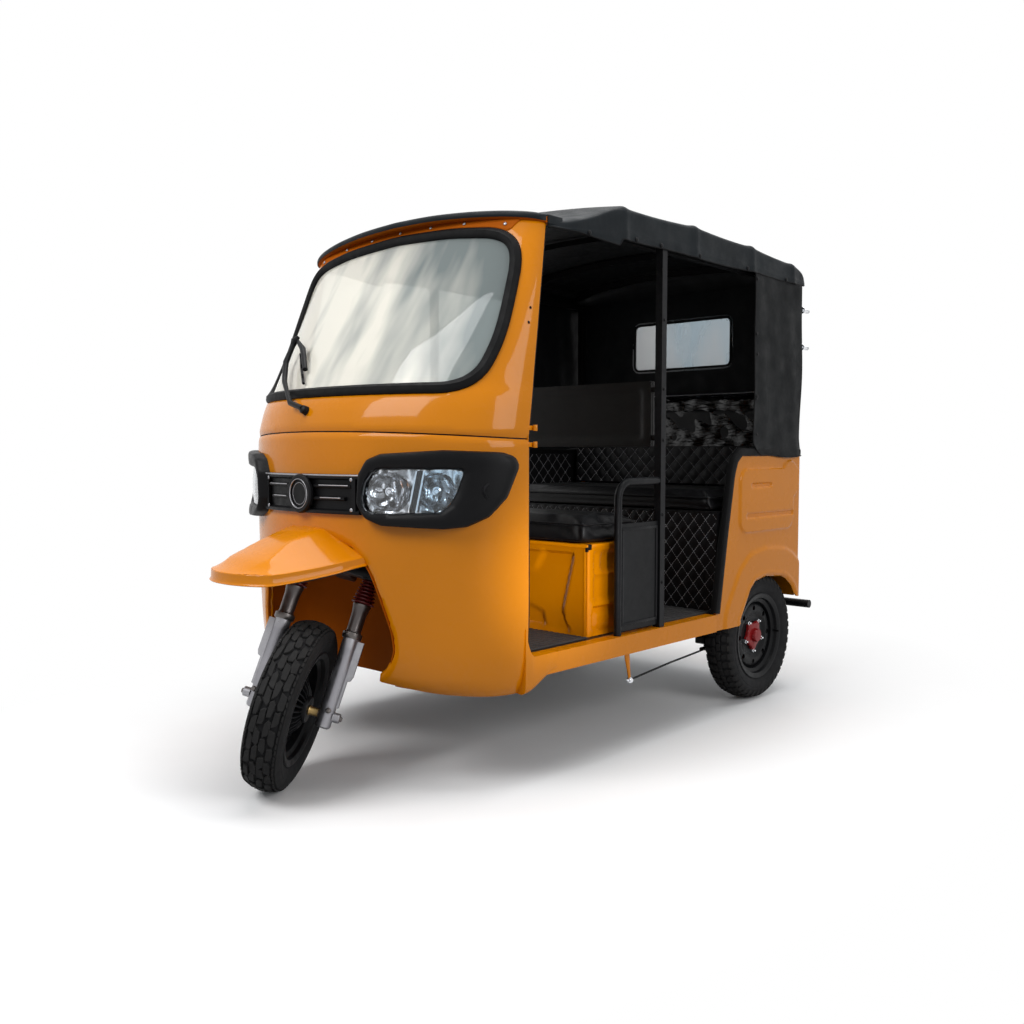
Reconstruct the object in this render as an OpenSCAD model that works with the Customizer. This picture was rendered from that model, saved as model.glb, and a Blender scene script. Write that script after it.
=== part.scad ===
// Electric passenger tricycle, open sided, with a soft top.
// Millimetres. +X is the vehicle's left, +Y its rear, +Z up, ground at Z = 0.
// Lengths along the vehicle are measured rearward from the straight front axle.

/* [Running gear] */
// Front axle to rear axle
wheelbase = 1980; // [1700:10:2300]
// Between the rear tyre middles
track = 1040; // [900:10:1200]
// Tyre outside radius
tyre_r = 262; // [220:1:300]
// Tyre section width
tyre_w = 118; // [80:1:150]
// Radius of the round tread across the tyre
crown_r = 100; // [50:1:200]
// Tyre bead radius
bead_r = 160; // [140:1:180]

/* [Steering] */
// Rake of the steering axis from upright
rake = 24; // [15:1:30]
// Wheel axle ahead of the steering axis
fork_offset = 125; // [80:1:160]
// Rest angle of the steering, to the left
steer_rest = 40; // [0:1:45]
// Half the distance between the fork legs
leg_half = 110; // [90:1:130]
// Steering stem radius
stem_r = 17; // [12:1:25]
// Clearance of running fits
run_gap = 0.05; // [0.02:0.01:0.1]
// Handlebar height along the steering axis
bar_h = 860; // [800:5:900]

/* [Cab] */
// Half the body width
body_half = 608; // [500:1:700]
// Cab wall thickness
cab_wall = 18; // [8:1:30]
// Rear edge of the cowl
cab_rear = 514; // [480:1:560]
// Floor top above the rear axle
floor_over = 138; // [120:1:180]
// Screen rubber width seen from the front
rubber_w = 34; // [20:1:50]
// Screen opening, bottom height
screen_low = 1198; // [1150:1:1300]
// Screen opening, top height at the middle
screen_top = 1738; // [1650:1:1800]

/* [Seats and sides] */
// Front face of the driver's seat box
driver_y = 885; // [800:5:950]
// Post and partition, from the front axle
post_y = 1228; // [1100:1:1300]
// Passenger seat top panel above the floor
seat_h = 390; // [340:1:440]
// Front face of the passenger seat base ahead of the rear axle
bench_ahead = 340; // [320:5:420]
// Rear face of the body behind the rear axle
tail_over = 278; // [260:1:400]
// Top of the quarter panels
quarter_z = 1020; // [950:1:1100]

/* [Roof] */
// Lower edge of the canopy valance
valance_z = 1720; // [1650:1:1780]
// Canopy cloth with its padding
canopy_t = 10; // [5:1:20]

/* [Show] */
// Piece to build

/* [Hidden] */

// Middle of the overall length, from the front axle
origin_y = 1044.8;
seat_gap = 0.3;
floor_z = tyre_r + floor_over;
seat_z = floor_z + seat_h;
bench_y = wheelbase - bench_ahead;
tail_y = wheelbase + tail_over;
// Inner side of the rear wheel wells, and the chassis rails beside the springs
well_half = track / 2 - tyre_w / 2 - 52;
rail_x = well_half - 64;
// Tyre bead and tread edge
bead_half = 0.78 * tyre_w / 2;
tread_a = asin(0.795 * tyre_w / 2 / crown_r);
// Roof cover from the eave to the tail
roof_y = cab_rear + 187;
roof_len = tail_y + 4 - roof_y;
eave_half = body_half - 34;
lean = asin(sin(rake) * sin(steer_rest));
front_z = (tyre_r - crown_r) * cos(lean) + crown_r;
axis_y = fork_offset * cos(rake);
axis_z = front_z - fork_offset * cos(steer_rest) * sin(rake);

paint = [0.86, 0.52, 0.12];
black = [0.08, 0.08, 0.09];
steel = [0.62, 0.63, 0.65];
red = [0.62, 0.12, 0.10];

// Cab sections: height, rear edge behind the cowl's, inset from the half width, nose depth
CAB_Z = 0;
CAB_Y = 1;
CAB_A = 2;
CAB_B = 3;
CAB_ROWS = [
  [286, 0, 42, 300], [312, 0, 22, 326], [350, 0, 11, 346], [430, 0, 3, 360],
  [600, 0, 0, 369], [800, 0, 0, 373], [980, 0, 0, 373], [1067, 0, 0, 368],
  [1140, 9, 1, 358], [1190, 19, 4, 345], [1216, 25, 7, 332], [1300, 41, 13, 296],
  [1400, 61, 20, 253], [1500, 80, 27, 209], [1600, 100, 34, 166], [1700, 119, 41, 122],
  [valance_z + 80, 139, 48, 78]];
CAB = [for (s = CAB_ROWS) [s[0], cab_rear + s[1], body_half - s[2], s[3]]];

// Eave sections: share of the half span, and underside above the valance's lower edge
EAVE_ROWS = [[0, 43], [0.26, 40], [0.52, 32], [0.73, 22], [0.87, 13], [0.96, 5], [1, -1]];
EAVE = [for (s = EAVE_ROWS) [s[0] * eave_half, valance_z + s[1]]];

// Canopy sections: share of the length, width past the body, side and crown above the valance
CANOPY_ROWS = [
  [0, -24, 24, 66], [0.0634, -4, 52, 102], [0.1755, 4, 106, 148], [0.1915, 4, 107, 149],
  [0.4568, 4, 114, 153], [0.7226, 4, 102, 144], [0.9347, 3, 78, 126],
  [0.9859, 1, 56, 106], [1, -4, 34, 78]];
CANOPY = [for (s = CANOPY_ROWS)
  [roof_y + s[0] * roof_len, body_half + s[1], valance_z + s[2], valance_z + s[3]]];

// Fender sections: distance, half width, edge height, ridge height, crease half width
FENDER = [
  [-78, 150, 642, 662, 60], [-66, 190, 640, 672, 84], [-30, 208, 640, 692, 96],
  [40, 222, 650, 734, 104], [121, 236, 664, 788, 110], [230, 250, 676, 806, 118]];

// Quarter panel's front edge: distance from the seat base, share of the height over the floor
QUARTER_FRONT = [[-50, 0.006], [0, 0.468], [48, 0.8565], [72, 0.9516], [113, 1]];
// Wheel arch: distance behind the rear axle and height above it
ARCH = [[251, 140], [210, 193], [160, 226], [123, 239], [-5, 251], [-94, 238], [-135, 208], [-180, 138]];
QUARTER = concat([[bench_y - 56, floor_z - 64]],
  [for (p = QUARTER_FRONT) [bench_y + p[0], floor_z + p[1] * (quarter_z - floor_z)]],
  [[tail_y, quarter_z], [tail_y, tyre_r + 140]],
  [for (p = ARCH) [wheelbase + p[0], tyre_r + p[1]]],
  [[wheelbase - 223, floor_z - 64]]);

// Front mouth for the wheel: half width and height
MOUTH = [[236, 250], [242, 350], [276, 384], [330, 440], [350, 510], [340, 560], [286, 622],
  [246, 676], [190, 725], [100, 752]];

// Lamp outlines in the corner view: along and up
LAMP = [[286, 955], [311, 998], [355, 1016], [541, 1027], [712, 1021], [752, 1008], [765, 980],
  [728, 888], [675, 832], [610, 804], [541, 797], [355, 804], [305, 825], [280, 868]];
LENS = [[305, 930], [330, 963], [360, 970], [590, 970], [600, 962], [580, 905], [560, 868],
  [530, 846], [330, 838], [302, 850], [297, 880]];

// Tyre side: share of the height over the bead, share of the half width
TYRE_SIDE = [[0, 0.78], [0.1667, 0.78], [0.294, 0.915], [0.51, 1], [0.745, 0.966]];
TYRE = [for (p = TYRE_SIDE) [bead_r + p[0] * (tyre_r - bead_r), p[1] * tyre_w / 2]];

// Roof bow places along the vehicle
BOWS = [for (t = [0.1775, 0.4503, 0.7098, 0.9218]) roof_y + t * roof_len];

// Interpolated value of one cab column at a height
function cab_at(z, col) = lookup(z, [for (s = CAB) [s[CAB_Z], s[col]]]);

// Distance of the cab skin at a point seen from the front
function cab_skin(x, z) =
  cab_at(z, CAB_Y) - cab_at(z, CAB_B) * sqrt(max(0, 1 - pow(x / cab_at(z, CAB_A), 2)));

function tread_half() =
  [for (i = [7:-1:-7]) [tyre_r - crown_r + crown_r * cos(tread_a * i / 7), crown_r * sin(tread_a * i / 7)]];

function flip(pts) = [for (i = [len(pts) - 1:-1:0]) [-pts[i][0], pts[i][1]]];

// Straight round bar between two points
module rod(a, b, r) {
  d = b - a;
  translate(a)
    rotate([0, acos(d[2] / norm(d)), atan2(d[1], d[0])])
      cylinder(h = norm(d), r = r);
}

// Box from corner to corner
module box(a, b) {
  translate(a)
    cube(b - a);
}

module both_sides() {
  children();
  mirror([1, 0, 0])
    children();
}

// Outline in distance and height, run across the vehicle
module side_plate(pts, x0, x1) {
  translate([x0, 0, 0])
    rotate([90, 0, 90])
      linear_extrude(x1 - x0)
        polygon(pts);
}

// Outline seen from the front, run along the vehicle
module front_prism(pts, y0, y1) {
  translate([0, y1, 0])
    rotate([90, 0, 0])
      linear_extrude(y1 - y0)
        polygon(pts);
}

// Outline seen at the left front corner, run outward
module corner_prism(pts) {
  rotate([90, 0, 45])
    linear_extrude(900)
      polygon(pts);
}

// Frame of the turned fork: axis upward, wheel ahead
module steered() {
  translate([0, axis_y, axis_z])
    rotate([-rake, 0, 0])
      rotate([0, 0, steer_rest])
        children();
}

// Frame of a rear wheel: axis outward
module rear_wheel(side) {
  translate([side * track / 2, wheelbase, tyre_r])
    rotate([0, side * 90, 0])
      children();
}

// Solid between two rings of points
module band(a, b) {
  hull()
    polyhedron(points = concat(a, b), faces = [[for (k = [0:len(a) + len(b) - 1]) k]]);
}

function cab_ring(s, inset, lift, back) =
  let (a = s[CAB_A] - inset, b = s[CAB_B] - inset, z = s[CAB_Z] + lift)
    concat([for (t = [0:7.5:180]) [a * cos(t), s[CAB_Y] - b * sin(t), z]],
      [[-a, s[CAB_Y] + back, z], [a, s[CAB_Y] + back, z]]);

// Stack of bands between the cab sections
module cab_form(inset, first, last, back = 0.01) {
  for (i = [first:last - 1]) {
    band(cab_ring(CAB[i], inset, back > 1 && i == first ? -5 : 0, back),
      cab_ring(CAB[i + 1], inset, back > 1 && i == last - 1 ? 5 : 0, back));
  }
}

module cab_shell(first, last) {
  difference() {
    cab_form(0, first, last);
    cab_form(cab_wall, first, last, 60);
  }
}

// Screen outline, drawn in by a margin
module screen_shape(margin) {
  sides = [[128, screen_low], [76, screen_low + 34], [62, 1300], [57, 1380], [61, 1480], [70, 1600],
    [96, screen_top - 66], [168, screen_top - 32], [348, screen_top - 11]];
  half = concat([for (p = sides) [body_half - p[0], p[1]]], [[0, screen_top]]);
  pts = concat(half, flip([for (i = [0:len(half) - 2]) half[i]]));
  translate([0, 700, 0])
    rotate([90, 0, 0])
      linear_extrude(700)
        offset(r = -margin)
          offset(r = 46)
            offset(r = -46)
              polygon(pts);
}

// Ring of one eave section, seen from the side
function eave_ring(s, low, high, y1) =
  let (y0 = cab_rear + 128 - 132 * sqrt(max(0, 1 - pow(s[0] / (eave_half + 6), 2))))
    [[s[0], y0, s[1] + low], [s[0], y1, s[1] + low], [s[0], y1, s[1] + high], [s[0], y0, s[1] + high]];

// Eave slab between its sections, from a depth below to a height above
module eave_form(low, high, y1) {
  xs = concat([for (i = [len(EAVE) - 1:-1:1]) [-EAVE[i][0], EAVE[i][1]]], EAVE);
  for (i = [0:len(xs) - 2]) {
    band(eave_ring(xs[i], low, high, y1), eave_ring(xs[i + 1], low, high, y1));
  }
}

// Ring of one canopy section, seen from the front
function canopy_ring(s, inset, shift) =
  let (w = s[1] - inset, side = s[2] - inset, top = s[3] - inset, y = s[0] + shift,
    low = inset > 0 ? valance_z - 40 : valance_z)
    concat([[w, y, low], [-w, y, low], [-w, y, side - 18]],
      [for (k = [-8:8]) [w * 0.955 * k / 8, y, side + (top - side) * (1 - pow(k / 8, 2))]],
      [[w, y, side - 18]]);

module canopy_form(inset) {
  n = len(CANOPY);
  for (i = [0:n - 2]) {
    band(canopy_ring(CANOPY[i], inset, inset > 0 && i == 0 ? -5 : 0),
      canopy_ring(CANOPY[i + 1], inset, inset > 0 && i == n - 2 ? -inset : 0));
  }
}

// Ring of one fender section, seen from the front
function fender_ring(s, drop, shift) =
  let (w = s[1] - drop, lip = s[2] + 26 - drop, ridge = s[3] - drop, y = s[0] + shift,
    shoulder = lip + (ridge - lip) * 0.72, base = drop > 0 ? s[2] - 60 : s[2])
    [[w, y, base], [w, y, lip], [s[4], y, shoulder], [s[4] * 0.8, y, ridge - 2], [0, y, ridge],
      [-s[4] * 0.8, y, ridge - 2], [-s[4], y, shoulder], [-w, y, lip], [-w, y, base]];

module fender_form(drop) {
  n = len(FENDER);
  for (i = [0:n - 2]) {
    band(fender_ring(FENDER[i], drop, drop > 0 && i == 0 ? drop : 0),
      fender_ring(FENDER[i + 1], drop, drop > 0 && i == n - 2 ? 5 : 0));
  }
}

module tyre() {
  side = [for (p = TYRE) [p[0], p[1]]];
  other = [for (i = [len(TYRE) - 1:-1:0]) [TYRE[i][0], -TYRE[i][1]]];
  rotate_extrude()
    polygon(concat(side, tread_half(), other));
}

// Rim barrel with flanges, clear of the tyre bead
module barrel() {
  o = bead_r - seat_gap;
  w = bead_half + seat_gap;
  rotate_extrude()
    polygon([[o - 9, -w - 5.7], [o + 15, -w - 5.7], [o + 15, -w], [o, -w], [o, w], [o + 15, w],
      [o + 15, w + 5.7], [o - 9, w + 5.7]]);
}

module chassis_frame() {
  spine = [[390, 862], [452, 862], [516, 806], [576, floor_z - 50], [542, floor_z - 50],
    [482, 790], [436, 828], [390, 828]];
  top = floor_z - 15 - seat_gap;
  color(black) {
    both_sides() {
      box([rail_x - 45, 480, floor_z - 70], [rail_x, tail_y - 18, top]);
    }
    for (y = [560, 1000, bench_y - 80]) {
      box([68 - body_half, y - 20, floor_z - 65], [body_half - 68, y + 20, top]);
    }
    box([-well_half, tail_y - 62, floor_z - 65], [well_half, tail_y - 22, top]);
    difference() {
      union() {
        steered()
          translate([0, 0, 625])
            cylinder(h = 135, r = 30);
        side_plate(spine, -22, 22);
      }
      steered()
        translate([0, 0, 600])
          cylinder(h = 200, r = stem_r + run_gap);
    }
  }
}

module floor_pan() {
  color([0.2, 0.2, 0.21]) {
    difference() {
      union() {
        box([49 - body_half, 440, floor_z - 15], [body_half - 49, bench_y, floor_z]);
        box([-well_half, bench_y, floor_z - 15], [well_half, tail_y - 20, floor_z]);
      }
      box([-22.3, 532, floor_z - 20], [22.3, 582, floor_z + 10]);
    }
  }
}

module side_sills() {
  color(paint) {
    both_sides() {
      box([body_half - 49 + seat_gap, cab_rear + seat_gap, floor_z - 65],
        [body_half, bench_y - 56.5, floor_z]);
    }
  }
}

module front_cowl() {
  hem = [[-50, 200], [-50, 430], [137, 374], [222, 322], [330, 294], [440, 280], [440, 200]];
  color(paint) {
    difference() {
      cab_shell(0, 7);
      front_prism(concat(MOUTH, flip(MOUTH)), 0, 420);
      side_plate(hem, -700, 700);
    }
  }
}

module wheel_house() {
  plan = [for (t = [0:9:180]) [345 * cos(t), 236 + 190 * sin(t)]];
  color(paint) {
    difference() {
      intersection() {
        cab_form(cab_wall + seat_gap, 0, 7, 60);
        difference() {
          translate([0, 0, 332])
            linear_extrude(442)
              offset(delta = 8)
                polygon(concat(plan, [[-345, 100], [345, 100]]));
          translate([0, 0, 290])
            linear_extrude(476)
              polygon(concat(plan, [[-345, 90], [345, 90]]));
        }
      }
      steered()
        translate([0, 0, 500])
          cylinder(h = 120, r = 36);
    }
  }
}

module screen_frame() {
  color(paint) {
    difference() {
      translate([0, 0, 3])
        cab_shell(7, 16);
      screen_shape(0);
      eave_form(-seat_gap, 200, 800);
    }
  }
}

module screen_rubber() {
  color(black) {
    difference() {
      intersection() {
        translate([0, 0, 3])
          difference() {
            cab_form(-8, 7, 16);
            cab_form(cab_wall, 7, 16, 60);
          }
        screen_shape(seat_gap);
      }
      screen_shape(rubber_w);
    }
  }
}

module windscreen() {
  color([0.55, 0.6, 0.6]) {
    intersection() {
      translate([0, 0, 3])
        difference() {
          cab_form(4, 7, 16);
          cab_form(11, 7, 16, 60);
        }
      screen_shape(rubber_w + seat_gap);
    }
  }
}

module front_eave() {
  color(paint) {
    eave_form(0, 22, roof_y - seat_gap);
  }
}

module front_grille() {
  shape = [[-228, 832], [228, 832], [228, 955], [-228, 955]];
  color(black) {
    intersection() {
      difference() {
        cab_form(-14, 3, 7);
        cab_form(-seat_gap, 3, 7, 20);
      }
      front_prism(shape, 0, 400);
    }
    translate([0, cab_skin(0, 892) - 13, 892])
      rotate([90, 0, 0])
        cylinder(h = 12, r = 46);
  }
}

module lamp_bezels() {
  color(black) {
    both_sides() {
      difference() {
        intersection() {
          difference() {
            cab_form(-30, 3, 7);
            cab_form(-seat_gap, 3, 7, 20);
          }
          corner_prism(LAMP);
        }
        corner_prism(LENS);
      }
    }
  }
}

module head_lamps() {
  color([0.85, 0.87, 0.9]) {
    both_sides() {
      intersection() {
        difference() {
          cab_form(-22, 3, 7);
          cab_form(-seat_gap, 3, 7, 20);
        }
        rotate([90, 0, 45])
          linear_extrude(900)
            offset(delta = -seat_gap)
              polygon(LENS);
      }
    }
  }
}

module wiper() {
  base = [-30, cab_skin(-30, 1150) - 5.2, 1150];
  knee = [-30, base[1] - 18, 1152];
  tip = [-230, cab_skin(-230, 1345) - 26, 1348];
  low = [-160, cab_skin(-160, 1262) - 19, 1262];
  top = [-330, cab_skin(-330, 1478) - 19, 1478];
  color(black) {
    rod(base + [0, -seat_gap, 0], knee, 9);
    translate(knee)
      sphere(r = 10);
    rod(knee, tip, 6);
    rod(low, top, 7);
  }
}

module front_fender() {
  color(paint) {
    difference() {
      fender_form(0);
      fender_form(6);
      cab_form(-seat_gap, 3, 7, 60);
    }
  }
}

module dashboard() {
  color(black) {
    intersection() {
      translate([0, 0, 3])
        cab_form(cab_wall + seat_gap, 7, 16, 60);
      union() {
        box([-600, 100, 1150], [600, 300, 1172]);
        box([-110, 262, 1172], [110, 318, 1196]);
      }
    }
  }
}

module door_hinges() {
  hinge_x = body_half + 6;
  hinge_y = cab_rear + 21;
  color(paint) {
    both_sides() {
      for (z = [1030, 1080]) {
        difference() {
          box([body_half - 18, cab_at(z + 26, CAB_Y) + seat_gap, z], [hinge_x + 10, hinge_y + 10, z + 26]);
          translate([hinge_x, hinge_y, z - 1])
            cylinder(h = 28, r = 4);
        }
      }
    }
  }
}

module driver_seat_box() {
  w = body_half - 73;
  color(paint) {
    difference() {
      box([-w, driver_y, floor_z], [w, post_y - 15, floor_z + 312]);
      box([12 - w, driver_y + 12, floor_z + 12], [w - 12, post_y - 27, floor_z + 302]);
    }
  }
}

module driver_cushion() {
  w = body_half - 68;
  color(black) {
    difference() {
      box([-w, driver_y - 22, floor_z + 312 + seat_gap], [w, post_y - 15, floor_z + 406]);
      both_sides() {
        translate([w, 0, floor_z + 406])
          rotate([90, 45, 0])
            translate([-20, -20, -1300])
              cube([40, 40, 900]);
      }
    }
  }
}

module partition_panel() {
  w = body_half - 56;
  color(black) {
    box([-w, post_y - 14, 1040], [w, post_y + 14, 1270]);
    both_sides() {
      for (z = [1070, 1240]) {
        rod([w - 6, post_y, z], [body_half - 36 - seat_gap, post_y, z], 10);
      }
    }
  }
}

module side_posts() {
  color(black) {
    both_sides() {
      box([body_half - 36, post_y - 14, floor_z], [body_half - 8, post_y + 14, valance_z + 42]);
    }
  }
}

module side_guards() {
  x = body_half - 22;
  y0 = post_y - 242;
  y1 = post_y - 14 - seat_gap;
  color(black) {
    both_sides() {
      rod([x, y1, 920], [x, y0 + 60, 920], 13);
      translate([x, y0 + 60, 860])
        rotate([0, -90, 0])
          rotate_extrude(angle = -90)
            translate([60, 0])
              circle(r = 13);
      rod([x, y0, 860], [x, y0, floor_z + seat_gap], 13);
      box([x - 5, y0, floor_z + 12], [x + 5, y1, 778]);
    }
  }
}

module battery_block() {
  color([0.25, 0.27, 0.3]) {
    box([-300, bench_y + 100, floor_z], [300, tail_y - 98, floor_z + 240]);
  }
}

module bench_base() {
  w = body_half - 33;
  color(black) {
    box([-w, bench_y + seat_gap, floor_z], [w, bench_y + 16, seat_z]);
    box([-w, bench_y + seat_gap, seat_z - 16], [w, tail_y - 22, seat_z]);
    both_sides() {
      box([well_half + 7, bench_y + 10, floor_z], [well_half + 21, tail_y - 22, seat_z - 10]);
    }
    box([-well_half - 21, tail_y - 36, floor_z], [well_half + 21, tail_y - 22, seat_z - 10]);
  }
}

module bench_cushion() {
  w = body_half - 33;
  color(black) {
    difference() {
      box([-w, bench_y - 40, seat_z + seat_gap], [w, tail_y - 98, seat_z + 82]);
      translate([0, bench_y - 40, seat_z + 82])
        rotate([45, 0, 0])
          cube([2 * w + 100, 36, 36], center = true);
    }
  }
}

module bench_backrest() {
  y0 = tail_y - 98 + seat_gap;
  y1 = tail_y - 23;
  prof = [[y0, seat_z + seat_gap], [y1, seat_z + seat_gap], [y1, seat_z + 480],
    [y1 - 35, seat_z + 480], [y1 - 57, seat_z + 450]];
  color(black) {
    side_plate(prof, 46.5 - body_half, body_half - 46.5);
  }
}

module quarter_panels() {
  color(paint) {
    both_sides() {
      side_plate(QUARTER, body_half - 18, body_half);
    }
  }
}

module rear_panel() {
  w = body_half - 18 - seat_gap;
  color(paint) {
    difference() {
      box([-w, tail_y - 20 + seat_gap, tyre_r + 140], [w, tail_y, quarter_z]);
      for (x = [-70, 70]) {
        translate([x, tail_y + 42, quarter_z - 320])
          rotate([90, 0, 0])
            cylinder(h = 100, r = 3.5);
      }
    }
  }
}

module tail_lamps() {
  color(red) {
    both_sides() {
      box([body_half - 138, tail_y, quarter_z - 480], [body_half - 48, tail_y + 26, quarter_z - 360]);
    }
  }
}

module rear_bumper() {
  color(black) {
    rod([-body_half - 35, tail_y + 18, floor_z - 32], [body_half + 35, tail_y + 18, floor_z - 32], 17);
    both_sides() {
      box([rail_x - 45, tail_y - 18, floor_z - 55], [rail_x, tail_y + 18, floor_z - 25]);
    }
  }
}

// Height under the canopy cloth at a bow, for a share of the half width
function bow_z(y, k) =
  let (side = lookup(y, [for (s = CANOPY) [s[0], s[2]]]), top = lookup(y, [for (s = CANOPY) [s[0], s[3]]]))
    side + (top - side) * (1 - k * k) - canopy_t - seat_gap;

module roof_frame() {
  w = body_half;
  color(black) {
    both_sides() {
      box([w - 90, roof_y, valance_z + 2], [w - 62, roof_y + 139, valance_z + 12]);
      box([w - 64, roof_y + 119, valance_z + 2], [w - 36 - seat_gap, tail_y - 22, valance_z + 30]);
      box([w - 46, tail_y - 48, seat_z + 82], [w - 18 - seat_gap, tail_y - 22, valance_z + 30]);
    }
    for (y = BOWS) {
      high = [for (k = [-7:7]) [(w - 34) * k / 8, min(bow_z(y, k / 8), bow_z(y + 20, k / 8))]];
      low = [for (k = [6:-1:-6]) [(w - 34) * k / 8, high[k + 7][1] - 22]];
      side = [[w - 46, 52], [w - 46, 25], [w - 60, 25], [w - 60, 38]];
      right = [for (p = side) [p[0], valance_z + p[1]]];
      front_prism(concat(high, right, low, flip(right)), y, y + 20);
    }
  }
}

module canopy() {
  color([0.1, 0.11, 0.14]) {
    difference() {
      canopy_form(0);
      canopy_form(canopy_t);
    }
  }
}

module side_curtains() {
  y0 = wheelbase - 137;
  z0 = quarter_z + seat_gap;
  pts = [[y0, valance_z + 20], [y0, z0 + 70], [y0 + 23, z0 + 22], [y0 + 63, z0],
    [tail_y - 20, z0], [tail_y - 20, valance_z + 20]];
  color([0.1, 0.11, 0.14]) {
    both_sides() {
      side_plate(pts, body_half - 18, body_half - 10);
    }
  }
}

module rear_curtain() {
  color([0.1, 0.11, 0.14]) {
    difference() {
      box([14 - body_half, tail_y - 20 + seat_gap, quarter_z + seat_gap],
        [body_half - 14, tail_y - 10, valance_z + 6]);
      box([-260, tail_y - 60, 1407], [260, tail_y + 40, 1621]);
    }
  }
}

module rear_window() {
  color([0.75, 0.77, 0.8]) {
    box([-259.7, tail_y - 17, 1407.3], [259.7, tail_y - 13, 1620.7]);
  }
}

module rear_axle() {
  w = track / 2 - 102;
  color([0.15, 0.15, 0.16]) {
    difference() {
      union() {
        rod([-w, wheelbase, tyre_r], [w, wheelbase, tyre_r], 36);
        rod([-75, wheelbase, tyre_r], [75, wheelbase, tyre_r], 105);
        rod([0, wheelbase - 300, tyre_r], [0, wheelbase, tyre_r], 84);
        both_sides() {
          rod([w - 4, wheelbase, tyre_r], [w + 10, wheelbase, tyre_r], 128);
        }
      }
      both_sides() {
        rod([w - 138, wheelbase, tyre_r], [w + 22, wheelbase, tyre_r], stem_r + run_gap);
      }
    }
  }
}

// Leaves: half length, and underside and top above the axle
LEAVES = [[290, 41, 49], [220, 49, 56], [130, 56, 63]];

module leaf_springs() {
  x0 = rail_x + 5;
  x1 = well_half - 3;
  color(black) {
    both_sides() {
      for (l = LEAVES) {
        box([x0, wheelbase - l[0], tyre_r + l[1]], [x1, wheelbase + l[0], tyre_r + l[2]]);
      }
      box([x0 + 2, wheelbase - 30, tyre_r + 36 + seat_gap], [x1 - 2, wheelbase + 30, tyre_r + 42]);
      for (y = [wheelbase - 290, wheelbase + 290]) {
        rod([x0 + 2, y, tyre_r + 49], [x1 - 2, y, tyre_r + 49], 15);
      }
      box([rail_x + seat_gap, wheelbase - 304, tyre_r + 49], [rail_x + 7, wheelbase - 276, floor_z - 15.3]);
      box([rail_x + seat_gap, tail_y - 22 + seat_gap, tyre_r + 49],
        [rail_x + 7, wheelbase + 304, floor_z - 60]);
    }
  }
}

module brake_linkage() {
  x = body_half - 37;
  y = wheelbase - 320;
  z = tyre_r - 24;
  color(paint) {
    box([x - 5, 1080, z - 33], [x + 5, 1104, floor_z - 65 - seat_gap]);
    rod([x, 1092, z - 10], [440, y, z + 2], 5);
    box([430, y - 8, z - 7], [450, y + 14, z + 11]);
    rod([440, y + 4, z + 2], [track / 2 - 118, wheelbase - 112, z + 12], 5);
  }
}

module fork_yoke() {
  color(steel) {
    steered() {
      difference() {
        union() {
          translate([-leg_half - 32, -fork_offset - 30, 430])
            cube([2 * leg_half + 64, 60, 38]);
          translate([-36, -fork_offset - 30, 430])
            cube([72, fork_offset + 62, 38]);
        }
        for (s = [-1, 1]) {
          translate([s * leg_half, -fork_offset, 400])
            cylinder(h = 100, r = 17 + seat_gap);
        }
      }
      translate([0, 0, 450])
        cylinder(h = bar_h - 500, r = stem_r);
    }
  }
}

module fork_legs() {
  color(steel) {
    steered() {
      for (s = [-1, 1]) {
        translate([s * leg_half, -fork_offset, -38]) {
          cylinder(h = 290, r = 24);
          translate([0, 0, 280])
            cylinder(h = 16, r = 31);
          translate([0, 0, 290])
            cylinder(h = 96, r = 22);
          translate([0, 0, 380])
            cylinder(h = 140, r = 17);
        }
      }
      translate([-150, -fork_offset, 0])
        rotate([0, 90, 0])
          cylinder(h = 300, r = 8);
      for (s = [-1, 1]) {
        translate([s * 76 - 12, -fork_offset, 0])
          rotate([0, 90, 0])
            cylinder(h = 24, r = 14);
      }
    }
  }
}

module fork_bellows() {
  color(red) {
    steered() {
      for (s = [-1, 1]) {
        translate([s * leg_half, -fork_offset, 348.3]) {
          difference() {
            cylinder(h = 81, r = 28);
            translate([0, 0, -1])
              cylinder(h = 90, r = 17 + seat_gap);
          }
        }
      }
    }
  }
}

module handlebar() {
  color(black) {
    steered() {
      translate([0, 0, bar_h - 50 + seat_gap])
        cylinder(h = 50, r = 22);
      translate([-190, 0, bar_h])
        rotate([0, 90, 0])
          cylinder(h = 380, r = 12);
      for (s = [-1, 1]) {
        rod([s * 186, 0, bar_h], [s * 310, 46, bar_h + 6], 15);
      }
    }
  }
}

module front_tyre() {
  color(black) {
    steered()
      translate([0, -fork_offset, 0])
        rotate([0, 90, 0])
          tyre();
  }
}

module front_rim() {
  color(black) {
    steered() {
      translate([0, -fork_offset, 0]) {
        rotate([0, 90, 0]) {
          difference() {
            union() {
              barrel();
              translate([0, 0, -5])
                cylinder(h = 10, r = bead_r - 8);
              translate([0, 0, -56])
                cylinder(h = 112, r = 40);
              translate([0, 0, -48])
                cylinder(h = 48, r = 88);
            }
            translate([0, 0, -100])
              cylinder(h = 200, r = 8 + run_gap);
          }
        }
      }
    }
  }
}

module rear_rim(side) {
  color(black) {
    rear_wheel(side) {
      difference() {
        union() {
          barrel();
          translate([0, 0, 4])
            cylinder(h = 10, r = bead_r - 8);
        }
        translate([0, 0, -10])
          cylinder(h = 60, r = 42);
        for (i = [0:7]) {
          rotate([0, 0, 45 * i])
            translate([112, 0, -10])
              cylinder(h = 60, r = 13);
        }
      }
    }
  }
}

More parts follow.
